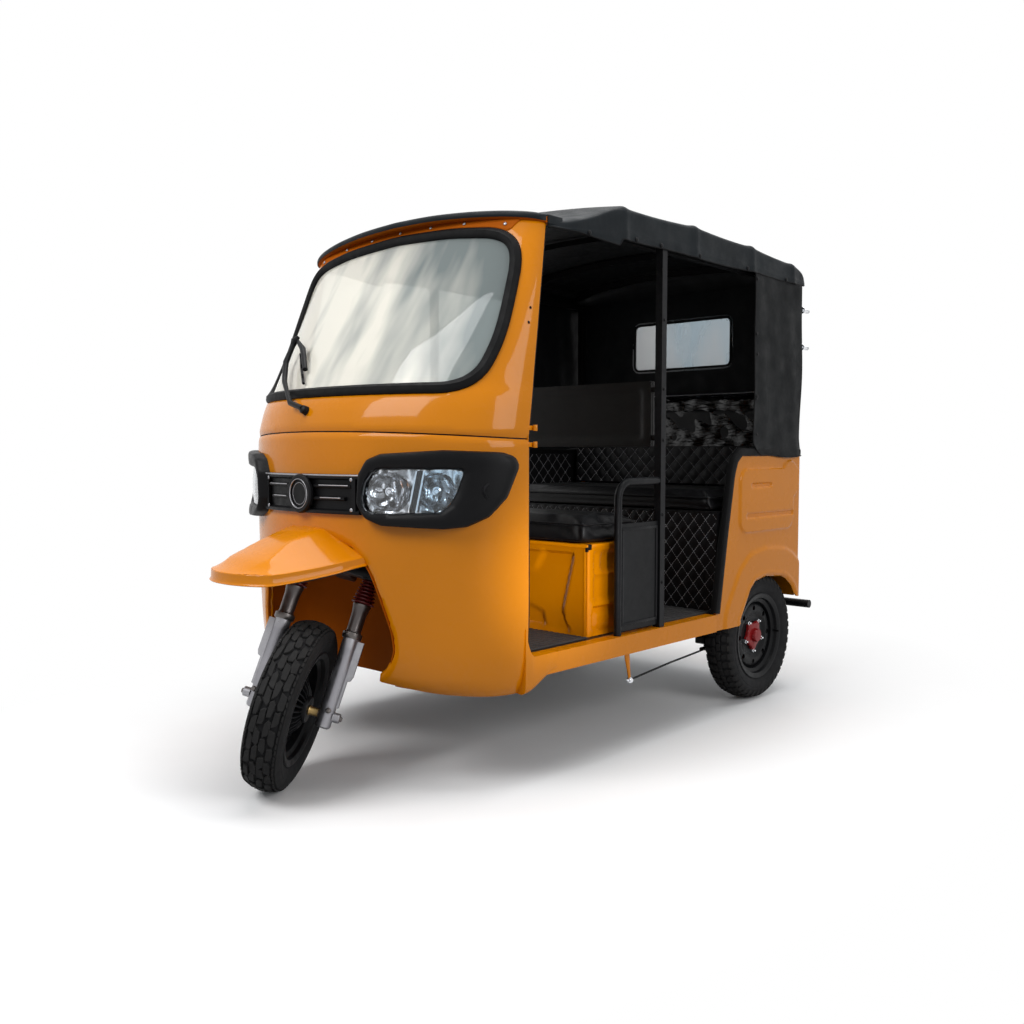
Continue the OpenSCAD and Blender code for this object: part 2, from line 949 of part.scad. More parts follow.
module rear_hub(side) {
  color(red) {
    rear_wheel(side) {
      translate([0, 0, -225])
        cylinder(h = 230, r = stem_r);
      translate([0, 0, -86])
        cylinder(h = 89.7, r = 122);
      cylinder(h = 46, r = 41.7);
      for (i = [0:4]) {
        rotate([0, 0, 72 * i])
          translate([66, 0, 14.3])
            cylinder(h = 14, r = 9, $fn = 6);
      }
    }
  }
}

module rear_tyre(side) {
  color(black) {
    rear_wheel(side)
      tyre();
  }
}

translate([0, -origin_y, 0]) {
  chassis_frame();
  floor_pan();
  side_sills();
  front_cowl();
  wheel_house();
  screen_frame();
  screen_rubber();
  windscreen();
  front_eave();
  front_grille();
  lamp_bezels();
  head_lamps();
  wiper();
  front_fender();
  dashboard();
  door_hinges();
  driver_seat_box();
  driver_cushion();
  partition_panel();
  side_posts();
  side_guards();
  battery_block();
  bench_base();
  bench_cushion();
  bench_backrest();
  quarter_panels();
  rear_panel();
  tail_lamps();
  rear_bumper();
  roof_frame();
  canopy();
  side_curtains();
  rear_curtain();
  rear_window();
  rear_axle();
  leaf_springs();
  brake_linkage();
  fork_yoke();
  fork_legs();
  fork_bellows();
  handlebar();
  front_tyre();
  front_rim();
  rear_tyre(1);  // rear_tyre_left
  rear_rim(1);  // rear_rim_left
  rear_hub(1);  // rear_hub_left
  rear_tyre(-1);  // rear_tyre_right
  rear_rim(-1);  // rear_rim_right
  rear_hub(-1);  // rear_hub_right
}
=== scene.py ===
import math

import bmesh
import bpy
import numpy as np
from mathutils import Matrix, Vector
from mathutils.geometry import delaunay_2d_cdt


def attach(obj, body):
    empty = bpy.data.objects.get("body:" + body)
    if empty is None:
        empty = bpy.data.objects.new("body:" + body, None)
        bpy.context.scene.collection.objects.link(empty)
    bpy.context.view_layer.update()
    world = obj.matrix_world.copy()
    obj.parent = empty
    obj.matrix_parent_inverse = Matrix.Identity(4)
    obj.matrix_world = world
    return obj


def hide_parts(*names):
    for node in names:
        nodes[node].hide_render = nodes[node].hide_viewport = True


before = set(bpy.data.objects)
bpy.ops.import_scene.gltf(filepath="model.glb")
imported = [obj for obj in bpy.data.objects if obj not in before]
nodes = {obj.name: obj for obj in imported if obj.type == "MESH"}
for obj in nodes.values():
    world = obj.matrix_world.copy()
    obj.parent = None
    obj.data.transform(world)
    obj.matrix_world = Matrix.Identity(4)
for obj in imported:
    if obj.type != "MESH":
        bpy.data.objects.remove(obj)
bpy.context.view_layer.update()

scene = bpy.context.scene
scene.view_settings.view_transform = "Standard"

# Millimetres below: x to the vehicle's left, y rearward from the straight front axle, z up.
ORIGIN_Y = 1044.8
ROOT2 = math.sqrt(2.0)
TAU = 2 * math.pi
SIDES = ((1, "left"), (-1, "right"))


def row(p):
    return (p[0] / 1000, (p[1] - ORIGIN_Y) / 1000, p[2] / 1000)


def turn(n):
    """n angles, evenly once round."""
    return np.linspace(0, TAU, n + 1)[:-1]


def ease(t):
    """Nought to one with level ends."""
    t = np.clip(t, 0, 1)
    return t * t * (3 - 2 * t)


def run(points):
    """Length along a line of points, in metres."""
    return sum(math.dist(a, b) for a, b in zip(points, points[1:])) / 1000


def linear(r, g, b):
    """An 8-bit display colour as the linear colour a shader takes."""
    out = []
    for c in (r, g, b):
        c /= 255
        out.append(c / 12.92 if c <= 0.04045 else ((c + 0.055) / 1.055) ** 2.4)
    return tuple(out) + (1.0,)


# Materials

def shade(colour, f):
    return tuple(min(1.0, max(0.0, c * f)) for c in colour[:3]) + (1.0,)


class Mat:
    """A node material under construction: a Principled shader fed by object-space patterns."""

    def __init__(self, name, **sockets):
        self.mat = bpy.data.materials.new(name)
        self.mat.use_nodes = True
        self.tree = self.mat.node_tree
        self.bsdf = self.tree.nodes["Principled BSDF"]
        for key, value in sockets.items():
            self.bsdf.inputs[key.replace("_", " ")].default_value = value
        self.coord = self.new("ShaderNodeTexCoord").outputs["Object"]

    def new(self, kind, **props):
        node = self.tree.nodes.new(kind)
        for key, value in props.items():
            setattr(node, key, value)
        return node

    def link(self, a, b):
        self.tree.links.new(a, b)

    def spread(self, scale, turned=0.0):
        """Object coordinates turned about y, with a scale of their own on each axis."""
        node = self.new("ShaderNodeMapping")
        node.inputs["Rotation"].default_value = (0.0, turned, 0.0)
        node.inputs["Scale"].default_value = scale
        self.link(self.coord, node.inputs["Vector"])
        return node.outputs["Vector"]

    def noise(self, scale, detail=4.0, rough=0.55, vector=None):
        node = self.new("ShaderNodeTexNoise")
        node.inputs["Scale"].default_value = scale
        node.inputs["Detail"].default_value = detail
        node.inputs["Roughness"].default_value = rough
        self.link(vector or self.coord, node.inputs["Vector"])
        return node.outputs["Fac"]

    def cells(self, scale, feature="F1", vector=None):
        node = self.new("ShaderNodeTexVoronoi", feature=feature)
        node.inputs["Scale"].default_value = scale
        self.link(vector or self.coord, node.inputs["Vector"])
        return node.outputs["Distance"]

    def wave(self, scale, direction):
        node = self.new("ShaderNodeTexWave", bands_direction=direction)
        node.inputs["Scale"].default_value = scale
        self.link(self.coord, node.inputs["Vector"])
        return node.outputs["Fac"]

    def math(self, op, a, b):
        node = self.new("ShaderNodeMath", operation=op)
        for i, v in enumerate((a, b)):
            if isinstance(v, (int, float)):
                node.inputs[i].default_value = v
            else:
                self.link(v, node.inputs[i])
        return node.outputs[0]

    def remap(self, fac, low, high, lo_in=0.3, hi_in=0.7):
        node = self.new("ShaderNodeMapRange")
        for key, v in zip(("From Min", "From Max", "To Min", "To Max"), (lo_in, hi_in, low, high)):
            node.inputs[key].default_value = v
        self.link(fac, node.inputs["Value"])
        return node.outputs["Result"]

    def ramp(self, fac, stops):
        node = self.new("ShaderNodeValToRGB")
        while len(node.color_ramp.elements) < len(stops):
            node.color_ramp.elements.new(0.5)
        for el, (at, colour) in zip(node.color_ramp.elements, stops):
            el.position = at
            el.color = colour
        self.link(fac, node.inputs["Fac"])
        return node.outputs["Color"]

    def mix(self, fac, a, b):
        node = self.new("ShaderNodeMix", data_type="RGBA")
        self.link(fac, node.inputs["Factor"])
        for key, v in (("A", a), ("B", b)):
            sock = [s for s in node.inputs if s.name == key and s.type == "RGBA"][0]
            if isinstance(v, tuple):
                sock.default_value = v
            else:
                self.link(v, sock)
        return [s for s in node.outputs if s.type == "RGBA"][0]

    def colour(self, out):
        self.link(out, self.bsdf.inputs["Base Color"])

    def roughness(self, out):
        self.link(out, self.bsdf.inputs["Roughness"])

    def mottle(self, base, scale, detail, low, high, start=0.25):
        """A base colour that drifts between a darker and a lighter shade."""
        stops = [(start, shade(base, low)), (1 - start, shade(base, high))]
        self.colour(self.ramp(self.noise(scale, detail), stops))

    def uneven(self, scale, detail, low, high):
        """A roughness that drifts between two values."""
        self.roughness(self.remap(self.noise(scale, detail), low, high))

    def bump(self, height, strength, distance):
        node = self.new("ShaderNodeBump")
        node.inputs["Strength"].default_value = strength
        node.inputs["Distance"].default_value = distance
        self.link(height, node.inputs["Height"])
        prior = self.bsdf.inputs["Normal"].links
        if prior:
            self.link(prior[0].from_socket, node.inputs["Normal"])
        self.link(node.outputs["Normal"], self.bsdf.inputs["Normal"])

    def worn(self, tint, amount):
        """A tint on convex edges, found by pointiness and broken up by noise."""
        geo = self.new("ShaderNodeNewGeometry").outputs["Pointiness"]
        mask = self.math("MULTIPLY", self.remap(geo, 0.0, amount, 0.515, 0.56), self.noise(55.0))
        prior = self.bsdf.inputs["Base Color"].links[0].from_socket
        self.colour(self.mix(mask, prior, tint))


def paint_mat(name, base, rough=0.24, coat=0.32):
    m = Mat(name, Coat_Weight=coat, Coat_Roughness=0.05, Coat_IOR=1.5, Specular_IOR_Level=0.05)
    m.mottle(base, 2.2, 3.0, 0.955, 1.045, 0.3)
    m.uneven(14.0, 6.0, rough - 0.05, rough + 0.09)
    m.bump(m.noise(190.0, 2.0), 0.035, 0.002)
    m.bump(m.noise(3.2, 1.0), 0.03, 0.02)
    m.worn(shade(base, 1.22), 0.35)
    return m.mat


def grain_mat(name, base, rough, grain, depth=0.0006, strength=0.35, metal=0.0, vary=0.16,
              wear=None, spec=0.5):
    """A grained solid; wear is the colour that shows along its edges."""
    m = Mat(name, Metallic=metal, Specular_IOR_Level=spec)
    m.mottle(base, 9.0, 6.0, 1 - vary, 1 + vary)
    m.uneven(38.0, 6.0, rough - 0.09, rough + 0.1)
    m.bump(m.noise(grain, 3.0, 0.7), strength, depth)
    if wear:
        m.worn(wear, 0.6)
    return m.mat


def leather_mat(name, base, rough=0.4):
    m = Mat(name, Sheen_Weight=0.01, Sheen_Roughness=0.5, Specular_IOR_Level=0.2)
    m.mottle(base, 6.0, 5.0, 0.75, 1.3)
    m.uneven(21.0, 4.0, rough - 0.08, rough + 0.1)
    m.bump(m.cells(520.0), 0.28, 0.0007)
    m.bump(m.noise(11.0, 3.0), 0.16, 0.006)
    return m.mat


def cloth_mat(name, base, rough=0.5):
    """Coated canvas: a fine weave under a dull coating, with soft creases."""
    m = Mat(name, Sheen_Weight=0.015, Sheen_Roughness=0.45, Specular_IOR_Level=0.12)
    m.mottle(base, 4.5, 6.0, 0.72, 1.32)
    m.uneven(16.0, 5.0, rough - 0.1, rough + 0.12)
    warp, weft, other = (m.wave(170.0, axis) for axis in "YXZ")
    m.bump(m.math("MULTIPLY", warp, m.math("ADD", weft, other)), 0.2, 0.0006)
    m.bump(m.noise(7.0, 3.0), 0.22, 0.008)
    return m.mat


def chrome_mat(name, base, rough=0.09):
    m = Mat(name, Metallic=1.0)
    m.mottle(base, 12.0, 4.0, 0.9, 1.0, 0.3)
    m.uneven(30.0, 6.0, rough, rough + 0.13)
    m.bump(m.noise(160.0, 2.0), 0.02, 0.001)
    return m.mat


def mirror_mat(name, base):
    """Cut lamp mirror: a polished metal with bumped facets, whose colour is painted cell by cell from near black to
    bright as painted reflections of light and dark.
    """
    m = Mat(name, Metallic=1.0)
    cut = m.cells(26.0, vector=m.spread((1.0, 1.0, 0.45)))
    # painted reflection: facet cells coloured from near black to full bright
    stops = [(at, shade(base, f)) for at, f in ((0.44, 0.05), (0.58, 0.42), (0.72, 1.0), (0.9, 0.3))]
    m.colour(m.ramp(m.math("ADD", cut, m.math("MULTIPLY", m.noise(34.0, 3.0), 0.6)), stops))
    m.uneven(40.0, 3.0, 0.06, 0.16)
    m.bump(cut, 0.6, 0.02)
    return m.mat


def film_mat(name, base):
    """Loose clear film over black vinyl, with sharp creases."""
    m = Mat(name, Specular_IOR_Level=0.5)
    m.mottle(base, 8.0, 4.0, 0.7, 1.4, 0.3)
    m.uneven(18.0, 4.0, 0.12, 0.24)
    m.bump(m.noise(9.0, 4.0, vector=m.spread((0.5, 1.0, 2.6), 0.5)), 0.7, 0.03)
    return m.mat


def glass_mat(name, tint, rough=0.02, clear=1.0, shade_factor=0.93, spec=0.5):
    """Glass; a share below clear is pale and diffuse, and the colour runs from the tint to a darker, cooler shade in
    soft slanting streaks: painted reflection and painted shade.
    """
    m = Mat(name, Transmission_Weight=clear, IOR=1.45, Specular_IOR_Level=spec)
    # painted reflection and shade: a darker, cooler copy of the tint, laid on in slanting bands
    shaded_tint = tuple(c * f for c, f in zip(shade(tint, shade_factor), (0.84, 1.0, 1.1, 1.0)))
    axes = m.new("ShaderNodeSeparateXYZ")
    m.link(m.coord, axes.inputs[0])
    across, up = (m.math("MULTIPLY", axes.outputs[axis], f) for axis, f in (("X", -0.5), ("Z", -0.3)))
    lean = m.math("ADD", m.math("ADD", across, up), 0.53)
    light_and_shade = m.math("ADD", m.noise(2.2, 3.0, vector=m.spread((2.6, 0.6, 0.7), 0.62)), lean)
    m.colour(m.ramp(light_and_shade, [(0.34, shaded_tint), (0.66, tint)]))
    m.roughness(m.remap(m.noise(9.0, 6.0), rough, rough + 0.012, 0.45, 0.75))
    m.bump(m.noise(2.5, 1.0), 0.02, 0.01)
    return m.mat


PAINT = paint_mat("orange_paint", linear(214, 128, 2))
# A darker, uncoated copy of the orange paint: painted shade for the wheel well, the eave and the fascia under it.
SHADE_PAINT = paint_mat("shaded_paint", linear(176, 88, 6), 0.6, 0.0)
BLACK_METAL = grain_mat("black_metal", linear(11, 12, 14), 0.4, 420.0, 0.0004, 0.2, 0.0, 0.2,
                        linear(42, 42, 44), 0.12)
PLASTIC = grain_mat("moulded_plastic", linear(9, 9, 11), 0.42, 800.0, 0.0005, 0.4, 0.0, 0.14,
                    linear(30, 30, 32), 0.11)
RUBBER = grain_mat("black_rubber", linear(9, 9, 10), 0.6, 300.0, 0.0006, 0.35, 0.0, 0.2, None, 0.1)
TYRE = grain_mat("tyre_rubber", linear(38, 38, 39), 0.74, 240.0, 0.0009, 0.5, 0.0, 0.24,
                 linear(58, 57, 55), 0.08)
VINYL = leather_mat("black_vinyl", linear(12, 12, 14))
PANEL = leather_mat("brown_panel", linear(18, 17, 16), 0.45)
CANVAS = cloth_mat("canopy_canvas", linear(11, 17, 21))
# A much darker copy of the canvas for the inner faces of the cover and curtains: painted shade inside the cab.
SHADED_CANVAS = cloth_mat("canopy_painted_shade", linear(7, 9, 11), 0.6)
CHROME = chrome_mat("chrome", linear(226, 228, 232))
STEEL = grain_mat("cast_alloy", linear(138, 137, 142), 0.36, 260.0, 0.0006, 0.25, 0.85, 0.1,
                  linear(186, 186, 188))
DARK_STEEL = grain_mat("fork_tube", linear(88, 83, 82), 0.34, 260.0, 0.0006, 0.25, 0.85, 0.12,
                       linear(130, 126, 122))
BRASS = grain_mat("axle_brass", linear(150, 126, 82), 0.38, 300.0, 0.0005, 0.25, 0.9, 0.15)
# The screen's colour falls to about a third in slanting bands, and about half of it is diffuse: painted reflection
# and painted shade.
GLASS = glass_mat("screen_glass", linear(246, 243, 232), 0.0, 0.46, 0.36, 0.1)
LENS = glass_mat("lamp_lens", linear(240, 243, 246), 0.0)
MIRROR = mirror_mat("lamp_mirror", linear(228, 229, 232))
FILM_COVER = film_mat("seat_film", linear(8, 8, 9))
RED_LENS = grain_mat("red_lens", linear(140, 12, 16), 0.16, 300.0, 0.0005, 0.15)
RED_PAINT = paint_mat("red_paint", linear(140, 26, 28), 0.34)
RED_RUBBER = grain_mat("red_rubber", linear(96, 12, 14), 0.42, 260.0, 0.0006, 0.3)
FILM = glass_mat("window_film", linear(150, 152, 153), 0.25, 0.6, 0.9, 0.2)
THREAD = grain_mat("pale_thread", linear(150, 150, 152), 0.7, 900.0, 0.0006, 0.5, spec=0.2)
FLOOR_MAT = grain_mat("floor_rubber", linear(58, 57, 57), 0.62, 260.0, 0.0008, 0.4, 0.0, 0.2,
                      None, 0.25)

SLOTS = {
    "body_paint": (PAINT, SHADE_PAINT), "black_metal": (BLACK_METAL,), "black_plastic": (PLASTIC,),
    "rubber": (RUBBER, FLOOR_MAT), "tyre": (TYRE,), "vinyl": (VINYL, PANEL, FILM_COVER, THREAD),
    "canopy_cloth": (CANVAS, SHADED_CANVAS), "lamp_chrome": (CHROME, MIRROR),
    "fork_metal": (STEEL, DARK_STEEL, BRASS), "glass": (GLASS, LENS), "film": (FILM,),
    "red_lens": (RED_LENS,), "red_paint": (RED_PAINT,), "red_rubber": (RED_RUBBER,)}
SLOT_OF = {mat: slot for slot, mats in SLOTS.items() for mat in mats}


# Mesh building

class Shape:
    """Points and faces in millimetres, gathered from simple forms before they become one mesh."""

    def __init__(self):
        self.v = []
        self.f = []

    def add(self, verts, faces):
        n = len(self.v)
        self.v += [tuple(p) for p in verts]
        self.f += [tuple(i + n for i in f) for f in faces]
        return self

    def grid(self, rows, wrap=False, wrap_rows=False):
        """Quads over rows of points; wrap joins each row's ends, wrap_rows the last row to the first."""
        nr, nc = len(rows), len(rows[0])
        faces = []
        for i in range(nr if wrap_rows else nr - 1):
            for j in range(nc if wrap else nc - 1):
                k, m = (i + 1) % nr, (j + 1) % nc
                faces.append((i * nc + j, i * nc + m, k * nc + m, k * nc + j))
        return self.add([p for r in rows for p in r], faces)

    def loft(self, rings, caps=True):
        """Closed rings joined in order, with flat ends."""
        n = len(self.v)
        self.grid(rings, wrap=True)
        if caps:
            c = len(rings[0])
            last = n + c * (len(rings) - 1)
            self.f.append(tuple(range(n + c - 1, n - 1, -1)))
            self.f.append(tuple(range(last, last + c)))
        return self

    def box(self, a, b, r=3.0):
        """Box with chamfered edges."""
        lo, hi = np.minimum(a, b).astype(float), np.maximum(a, b).astype(float)
        r = min(r, 0.45 * float((hi - lo).min()))
        bm = bmesh.new()
        bmesh.ops.create_cube(bm, size=1.0)
        for v in bm.verts:
            v.co = Vector([lo[i] if v.co[i] < 0 else hi[i] for i in range(3)])
        bmesh.ops.bevel(bm, geom=bm.edges[:], offset=r, segments=2, affect="EDGES", profile=0.5)
        bm.verts.index_update()
        self.add([v.co[:] for v in bm.verts], [[v.index for v in f.verts] for f in bm.faces])
        bm.free()
        return self

    def tube(self, path, r, n=16, caps=True):
        """Round bar along a path; r is one radius or one for each point."""
        pts = [Vector(p) for p in path]
        radii = r if hasattr(r, "__len__") else [r] * len(pts)
        rings = []
        side = None
        for i, p in enumerate(pts):
            t = (pts[min(i + 1, len(pts) - 1)] - pts[max(i - 1, 0)]).normalized()
            if side is None:
                side = t.orthogonal().normalized()
            side = (side - t * side.dot(t)).normalized()
            up = t.cross(side)
            rings.append([tuple(p + (side * math.cos(TAU * k / n) + up * math.sin(TAU * k / n)) * radii[i])
                          for k in range(n)])
        return self.loft(rings, caps)

    def lathe(self, profile, place, n=48, closed=False):
        """Profile of (radius, along) turned about an axis and set in place by a function."""
        rings = [[place((r * math.cos(TAU * k / n), r * math.sin(TAU * k / n), h)) for k in range(n)]
                 for r, h in profile]
        return self.grid(rings, wrap=True, wrap_rows=True) if closed else self.loft(rings)

    def border(self, lo, hi, wide, r, level=0):
        """Four bars round the upright face of a block from lo to hi, level along one axis."""
        bars = [[list(lo), list(hi)] for k in range(4)]
        bars[0][1][2] = lo[2] + wide
        bars[1][0][2] = hi[2] - wide
        for bar in bars[2:]:
            bar[0][2], bar[1][2] = lo[2] + wide, hi[2] - wide
        bars[2][1][level] = lo[level] + wide
        bars[3][0][level] = hi[level] - wide
        for a, b in bars:
            self.box(a, b, r)
        return self

    def mirrored(self):
        """The same again on the other side of the vehicle."""
        n = len(self.v)
        self.v += [(-x, y, z) for x, y, z in self.v]
        self.f += [tuple(i + n for i in reversed(f)) for f in self.f]
        return self

    def moved(self, place):
        self.v = [tuple(place(p)) for p in self.v]
        return self


def settle(obj):
    """Replaces an object's mesh by what its modifiers make of it, and drops the modifiers."""
    dg = bpy.context.evaluated_depsgraph_get()
    mesh = bpy.data.meshes.new_from_object(obj.evaluated_get(dg))
    obj.modifiers.clear()
    obj.data = mesh


def soften(obj, width):
    """Bevels an object's sharp edges."""
    mod = obj.modifiers.new("edge", "BEVEL")
    mod.width = width / 1000
    mod.segments = 2
    mod.limit_method = "ANGLE"
    mod.angle_limit = math.radians(50)


def piece(name, shape, mat, body="body", replaces=(), angle=38.0, wall=0.0, side=-1.0, bevel=0.0,
          outward=True, even=True, inner_mat=None):
    """One named object from a shape: thickened, bevelled, smoothed, and riding on a body."""
    mesh = bpy.data.meshes.new(name)
    mesh.from_pydata([row(p) for p in shape.v], [], shape.f)
    mesh.validate()
    bm = bmesh.new()
    bm.from_mesh(mesh)
    bmesh.ops.remove_doubles(bm, verts=bm.verts, dist=0.00002)
    if outward:
        bmesh.ops.recalc_face_normals(bm, faces=bm.faces)
    bm.to_mesh(mesh)
    bm.free()
    obj = bpy.data.objects.new(name, mesh)
    scene.collection.objects.link(obj)
    mesh.materials.append(mat)
    if wall:
        mod = obj.modifiers.new("wall", "SOLIDIFY")
        mod.thickness = wall / 1000
        mod.offset = side
        mod.use_even_offset = even
        # the wall's inner faces take a material of their own; the darker canvas used there is painted shade
        if inner_mat:
            mesh.materials.append(inner_mat)
            mod.material_offset = 1
    if bevel:
        soften(obj, bevel)
    if obj.modifiers:
        settle(obj)
    obj.data.shade_smooth()
    obj.data.set_sharp_from_angle(angle=math.radians(angle))
    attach(obj, body)
    if replaces:
        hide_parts(*replaces)
    return obj


# Outlines and surfaces

def smooth_table(table, col):
    """Monotone cubic through one column of a table, as a function of its first column."""
    x = np.array([r[0] for r in table], float)
    y = np.array([r[col] for r in table], float)
    h = np.diff(x)
    d = np.diff(y) / h
    m = np.zeros(len(x))
    m[0], m[-1] = d[0], d[-1]
    for i in range(1, len(x) - 1):
        if d[i - 1] * d[i] > 0:
            w1, w2 = 2 * h[i] + h[i - 1], h[i] + 2 * h[i - 1]
            m[i] = (w1 + w2) / (w1 / d[i - 1] + w2 / d[i])

    def at(q):
        q = np.clip(np.asarray(q, float), x[0], x[-1])
        i = np.clip(np.searchsorted(x, q) - 1, 0, len(h) - 1)
        t = (q - x[i]) / h[i]
        a = (1 + 2 * t) * (1 - t) ** 2 * y[i] + t * (1 - t) ** 2 * h[i] * m[i]
        return float(a + t * t * (3 - 2 * t) * y[i + 1] + t * t * (t - 1) * h[i] * m[i + 1])
    return at


def fillet(pts, r, n=8):
    """Closed outline with its corners rounded."""
    out = []
    count = len(pts)
    for i in range(count):
        p, a, b = (np.array(pts[k % count], float) for k in (i, i - 1, i + 1))
        u, v = (a - p), (b - p)
        lu, lv = np.linalg.norm(u), np.linalg.norm(v)
        u, v = u / lu, v / lv
        ang = math.acos(max(-1, min(1, float(u @ v))))
        cut = min(r / max(math.tan(ang / 2), 1e-6), 0.48 * lu, 0.48 * lv)
        for k in range(n + 1):
            t = k / n
            out.append(tuple((1 - t) ** 2 * (p + u * cut) + 2 * t * (1 - t) * p + t * t * (p + v * cut)))
    return out


def resample(pts, step, closed=True):
    """A line cut anew into even steps."""
    p = np.array(pts + ([pts[0]] if closed else []), float)
    seg = np.linalg.norm(np.diff(p, axis=0), axis=1)
    keep = np.concatenate([[True], seg > 1e-9])
    p = p[keep]
    s = np.concatenate([[0], np.cumsum(np.linalg.norm(np.diff(p, axis=0), axis=1))])
    n = max(3, int(round(s[-1] / step)))
    q = np.linspace(0, s[-1], n + 1)
    if closed:
        q = q[:-1]
    return [tuple(float(np.interp(t, s, p[:, k])) for k in range(p.shape[1])) for t in q]


def inset(pts, d):
    """Closed outline drawn in by a distance, for an outline that is nearly convex."""
    p = np.array(pts, float)
    area = np.sum(p[:, 0] * np.roll(p[:, 1], -1) - np.roll(p[:, 0], -1) * p[:, 1])
    t = np.roll(p, -1, axis=0) - np.roll(p, 1, axis=0)
    t /= np.linalg.norm(t, axis=1)[:, None]
    n = np.stack([-t[:, 1], t[:, 0]], axis=1) * (1 if area > 0 else -1)
    return [tuple(q) for q in p + n * d]


def inside(q, poly):
    """Which flat points lie inside a closed outline."""
    q = np.asarray(q, float)
    p = np.asarray(poly, float)
    x0, y0 = p[:, 0], p[:, 1]
    x1, y1 = np.roll(x0, -1), np.roll(y0, -1)
    hit = np.zeros(len(q), bool)
    for a, b, c, d in zip(x0, y0, x1, y1):
        if b == d:
            continue
        cross = ((b > q[:, 1]) != (d > q[:, 1])) & (q[:, 0] < (c - a) * (q[:, 1] - b) / (d - b) + a)
        hit ^= cross
    return hit


CHUNK = 2000


def nearest(q, border):
    """Distance of each point from the nearest of a border's points."""
    out = np.zeros(len(q))
    for k in range(0, len(q), CHUNK):
        out[k:k + CHUNK] = np.linalg.norm(q[k:k + CHUNK, None, :] - border[None, :, :], axis=2).min(1)
    return out


def patch(outer, holes, step):
    """Even triangles inside an outline and outside its holes, in flat coordinates."""
    loops = [resample(list(o), step) for o in [outer] + list(holes)]

    def within(q):
        keep = inside(q, loops[0])
        for hole in loops[1:]:
            keep &= ~inside(q, hole)
        return keep

    pts, edges = [], []
    for loop in loops:
        n = len(pts)
        pts += loop
        edges += [(n + i, n + (i + 1) % len(loop)) for i in range(len(loop))]
    border = np.array(pts, float)
    lo, hi = border.min(0), border.max(0)
    grid = []
    for j, z in enumerate(np.arange(lo[1] + step * 0.5, hi[1], step * 0.87)):
        for x in np.arange(lo[0] + step * (0.25 + 0.5 * (j % 2)), hi[0], step):
            grid.append((x, z))
    grid = np.array(grid)
    grid = grid[within(grid)]
    pts += [tuple(g) for g in grid[nearest(grid, border) > 0.62 * step]]
    made = delaunay_2d_cdt([Vector(p) for p in pts], edges, [], 0, 1e-5)
    v, f = np.array([p[:] for p in made[0]]), made[2]
    keep = within(np.array([v[list(t)].mean(0) for t in f]))
    return v, [tuple(t) for t, k in zip(f, keep) if k]


def distance_to(q, poly):
    """Distance of flat points from a closed outline."""
    return nearest(np.asarray(q, float), np.array(resample(list(poly), 4.0), float))


# Cab skin

CAB = [(286, 514, 566, 300), (312, 514, 586, 326), (350, 514, 597, 346), (430, 514, 605, 360),
       (600, 514, 608, 369), (800, 514, 608, 373), (980, 514, 608, 373), (1067, 514, 608, 368),
       (1140, 523, 607, 358), (1190, 533, 604, 345), (1216, 539, 601, 332), (1300, 555, 595, 296),
       (1400, 575, 588, 253), (1500, 594, 581, 209), (1600, 614, 574, 166), (1700, 633, 567, 122),
       (1800, 653, 560, 78)]
cab_y, cab_a, cab_b = (smooth_table(CAB, c) for c in (1, 2, 3))
MOUTH = [(240, 200), (252, 340), (284, 366), (310, 395), (326, 430), (323, 472), (302, 544), (264, 644),
         (246, 676), (190, 725), (100, 752)]
WELL = [(274, 306), (340, 308), (391, 316), (430, 328), (472, 325), (544, 304), (644, 266), (676, 248),
        (725, 192), (752, 102)]
HEM = [(-60, 430), (137, 374), (222, 322), (330, 294), (440, 287), (700, 287)]
EAVE = [(0, 1763), (150, 1760), (300, 1752), (420, 1742), (500, 1733), (550, 1725), (574, 1719), (620, 1712)]
eave_z = smooth_table(EAVE, 1)
SCREEN = [(480, 1198), (532, 1232), (546, 1300), (551, 1380), (547, 1480), (538, 1600), (512, 1672), (440, 1706),
          (260, 1727), (0, 1738)]
LAMP = [(286, 955), (311, 998), (355, 1016), (541, 1027), (712, 1021), (752, 1008), (765, 980), (728, 888),
        (675, 832), (610, 804), (541, 797), (355, 804), (305, 825), (280, 868)]
LENS_EDGE = [(305, 930), (330, 963), (360, 970), (590, 970), (600, 962), (580, 905), (560, 868), (530, 846),
             (330, 838), (302, 850), (297, 880)]


GIRTH = 608
HEM_LOW = 287.0


def both(pts):
    """A half outline and its mirror image, as one closed outline."""
    return list(pts) + [(-x, z) for x, z in reversed(pts) if x > 0]


def skin(x, z, off=0.0):
    """Distance of the cab skin seen from the front, moved out by an offset."""
    return cab_y(z) - (cab_b(z) + off) * math.sqrt(max(0.0, 1 - (x / (cab_a(z) + off)) ** 2))


def skin_normal(x, z):
    d = 2.0
    fx = (skin(x + d, z) - skin(x - d, z)) / (2 * d)
    fz = (skin(x, z + d) - skin(x, z - d)) / (2 * d)
    return Vector((fx, -1.0, fz)).normalized()


def unroll(x, z):
    """A point seen from the front, as distance round the cab and height."""
    return GIRTH * math.acos(max(-1.0, min(1.0, x / cab_a(z)))), z


def reroll(s, z, off=0.0):
    """Back from distance round the cab and height, on the skin moved out by an offset."""
    t = s / GIRTH
    return ((cab_a(z) + off) * math.cos(t), cab_y(z) - (cab_b(z) + off) * math.sin(t), z)


def corner(u, z, off=0.0):
    """A point of the lamp corner, seen square to it, on the skin moved out by an offset."""
    a, b, y0 = cab_a(z) + off, cab_b(z) + off, cab_y(z)
    p = u / ROOT2
    c = y0 - p
    k = 1 / a ** 2 + 1 / b ** 2
    h = p / a ** 2 + c / b ** 2
    w = (-h + math.sqrt(max(0.0, h * h - k * (p * p / a ** 2 + c * c / b ** 2 - 1)))) / k
    return (p + w, p - w, z)


